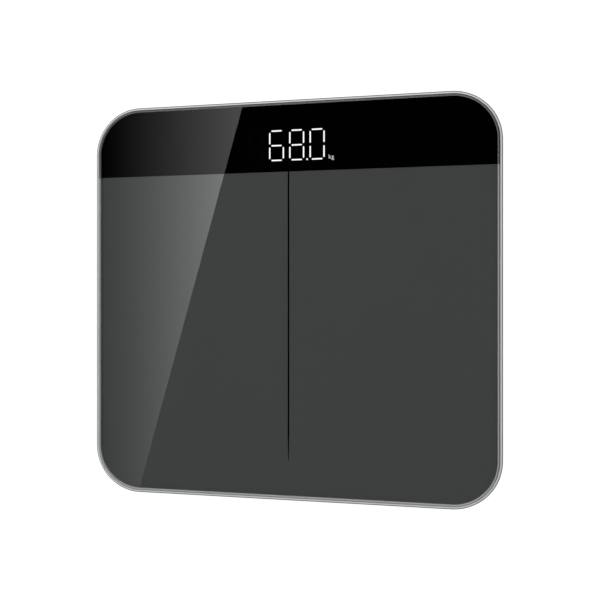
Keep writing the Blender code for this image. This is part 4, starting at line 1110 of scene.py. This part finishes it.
def contact(node):
    """A stamped nickel plate with rounded corners, and a spring for each flat end that it touches."""
    low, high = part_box(node)
    outer_x = max(low.x, high.x, key=abs)
    side = 1 if outer_x > 0 else -1
    inner_x = outer_x - side * CONTACT_THICKNESS
    middle_y, middle_z = (low.y + high.y) / 2, (low.z + high.z) / 2
    outline = rounded_ring(high.y - low.y, high.z - low.z, 1.5 * MM, 0, 6)
    rings = [[(x, middle_y + u, middle_z + v) for u, v, _ in outline] for x in (inner_x, outer_x)]
    clip = loft(node + "_clip", rings, [NICKEL])
    springs = []
    for index in range(3):
        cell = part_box(f"battery_{index + 1}")
        middle = (cell[0] + cell[1]) / 2
        if heading(index) != side and low.y < middle.y < high.y:
            flat_end = cell[1 if side > 0 else 0].x
            springs.append(contact_spring(side, inner_x, flat_end + side * GAP, middle))
    if springs:
        fuse(clip, *springs, angle=50)
    keep(clip, "nickel_contact", node)


def contact_spring(side, plate_x, end_x, middle):
    """A conical coil from the plate to a battery's flat end, closing to a flat last turn."""
    start_x, end_x = plate_x + side * CONTACT_THICKNESS / 2, end_x + side * SPRING_WIRE
    steps = SPRING_TURNS * 24
    points = []
    for step in range(steps + 1):
        t = step / steps
        radius = SPRING_RADII[0] + (SPRING_RADII[1] - SPRING_RADII[0]) * t
        angle = 2 * math.pi * SPRING_TURNS * t
        rise = min(1.0, t * SPRING_TURNS / (SPRING_TURNS - 1))
        y, z = middle.y + radius * math.cos(angle), middle.z + radius * math.sin(angle)
        points.append((start_x + (end_x - start_x) * rise, y, z))
    return wire("spring", points, SPRING_WIRE, NICKEL)


# ---------------- inner parts that stay as CAD nodes


def inner_parts():
    """Gives the CAD's inner nodes a finished material in place of their plain one."""
    finishes = {
        FOAM: ["glass_gasket"],
        NATURAL: ["cell_holder_" + station for station in STATIONS],
        GREY_PVC: ["cell_cable_" + station for station in STATIONS],
        ZINC: HOLDER_SCREWS + BOARD_SCREWS,
        MASK: ["main_board"],
        BLACK_PLASTIC: ["controller_chip", "switch_body", "display_reflector"],
        NYLON: ["cell_connector", "battery_connector", "switch_plunger", "display_diffuser"],
        SHELL_SKIN: ["battery_box"],
        RED_PVC: ["battery_lead_red"],
        BLACK_PVC: ["battery_lead_black"],
    }
    for material, nodes in finishes.items():
        for node in nodes:
            obj = frame["nodes"][node]
            if not obj.data.materials:
                obj.data.materials.append(material)
            for slot in obj.material_slots:
                slot.material = material


# ---------------- photographic set


def camera():
    data = bpy.data.cameras.new("camera")
    data.lens, data.sensor_width, data.clip_start = LENS, 36, 0.01
    obj = add_object("camera", data)
    place = Matrix.Translation((EYE_X, EYE_Y, TOP + EYE_HEIGHT))
    obj.matrix_world = place @ Matrix.Rotation(EYE_TILT, 4, "Y")
    bpy.context.scene.camera = obj


def world():
    """White for the camera. For the scale, a soft ring of light that is dark straight above, so that
    the glass stays dark, and dimmer on the right."""
    made = bpy.data.worlds.new("studio")
    tree = Tree(made)
    sky, ring = tree.node("ValToRGB"), tree.nodes["Background"]
    stops = sky.color_ramp.elements
    while len(stops) < len(SKY_STOPS):
        stops.new(0.5)
    for stop, (place, value) in zip(stops, SKY_STOPS):
        stop.position = place
        stop.color = (*grey(value), 1)
    tree.link(tree.axis("Z", "Generated"), sky.inputs["Fac"])
    tree.link(sky.outputs["Color"], ring.inputs["Color"])
    tree.link(tree.ramp(tree.axis("X", "Generated"), *SKY_SIDE), ring.inputs["Strength"])
    plain = tree.node("Background", {"Color": (1, 1, 1, 1)})
    seen = tree.node("LightPath").outputs["Is Camera Ray"]
    mix = tree.mixed("MixShader", seen, ring.outputs[0], plain.outputs[0])
    tree.link(mix, tree.nodes["World Output"].inputs["Surface"])
    bpy.context.scene.world = made


def soft_light(name, place, size, power):
    """A large soft light aimed at the scale, which the glass doesn't mirror."""
    data = bpy.data.lights.new(name, "AREA")
    data.size, data.energy = size, power
    light = add_object(name, data)
    light.location = place
    light.rotation_euler = (-Vector(place)).to_track_quat("-Z", "Y").to_euler()
    light.visible_camera = light.visible_glossy = light.visible_transmission = False


def bare_material(name):
    """A material without its Principled surface, and its tree."""
    material = bpy.data.materials.new(name)
    tree = Tree(material)
    tree.nodes.remove(tree.nodes["Principled BSDF"])
    return material, tree


def floor():
    """A plain white floor, clear from below. The light that it sends up fades to the right."""
    material, tree = bare_material("white_floor")
    seen = tree.node("LightPath").outputs["Is Camera Ray"]
    fade = tree.ramp(tree.axis("X"), *FLOOR_FADE)
    power = tree.node("Mix", {0: seen, 2: fade, 3: FLOOR_SEEN})
    diffuse = tree.node("BsdfDiffuse", {"Color": (*grey(FLOOR_COLOUR), 1)})
    lit = tree.mixed("AddShader", tree.glow(power.outputs[0]), diffuse.outputs[0])
    below = tree.node("NewGeometry").outputs["Backfacing"]
    clear = tree.node("BsdfTransparent").outputs[0]
    surface = tree.mixed("MixShader", below, lit, clear)
    tree.link(surface, tree.nodes["Material Output"].inputs["Surface"])
    bpy.ops.mesh.primitive_plane_add(size=FLOOR_SIZE)
    plane = bpy.context.object
    plane.name = "floor"
    plane.data.materials.append(material)


def sheen_card():
    """A glowing card above the scale, seen only in mirrors. It fades from its slanted edge."""
    spread, reach = 1 + CARD_HEIGHT / EYE_HEIGHT, CARD_REACH

    def above(x, y):
        """The point of the card that the camera sees mirrored in the glass at (x, y)."""
        return (EYE_X + (x - EYE_X) * spread, y * spread, TOP + CARD_HEIGHT)

    def slant(y):
        return SHEEN_TOP[0] + (y - SHEEN_TOP[1]) * SHEEN_SLOPE

    corners = [(-reach, -reach), (slant(-reach), -reach), (slant(reach), reach), (-reach, reach)]
    mesh = bpy.data.meshes.new("sheen_card")
    mesh.from_pydata([above(*corner) for corner in corners], [], [(0, 1, 2, 3)])
    material, tree = bare_material("sheen_light")
    start, end = above(SHEEN_START_X, 0)[0], above(SHEEN_TOP[0], 0)[0]
    fade = tree.maths("POWER", tree.ramp(tree.axis("X"), 0.0, 1.0, start, end), SHEEN_POWER)
    power = tree.maths("MULTIPLY", fade, SHEEN_STRENGTH)
    clear = tree.node("BsdfTransparent").outputs[0]
    surface = tree.mixed("AddShader", tree.glow(power), clear)
    tree.link(surface, tree.nodes["Material Output"].inputs["Surface"])
    mesh.materials.append(material)
    card = add_object("sheen_card", mesh)
    card.visible_camera = card.visible_diffuse = card.visible_shadow = False


def studio():
    camera()
    world()
    soft_light("key", **KEY)
    soft_light("fill", **FILL)
    floor()
    sheen_card()
    bpy.context.scene.view_settings.view_transform = "Standard"


# ---------------- the whole scale


def build():
    glass_platform()
    grey_field()
    black_backing()
    display()
    rim_frame()
    bottom_shell()
    feet()
    load_cells()
    battery_door()
    door_latch()
    unit_button()
    for index in range(3):
        battery(index)
    for node in ("terminal_positive", "terminal_negative", "bridge_contact_left", "bridge_contact_right"):
        contact(node)
    inner_parts()
    studio()


build()
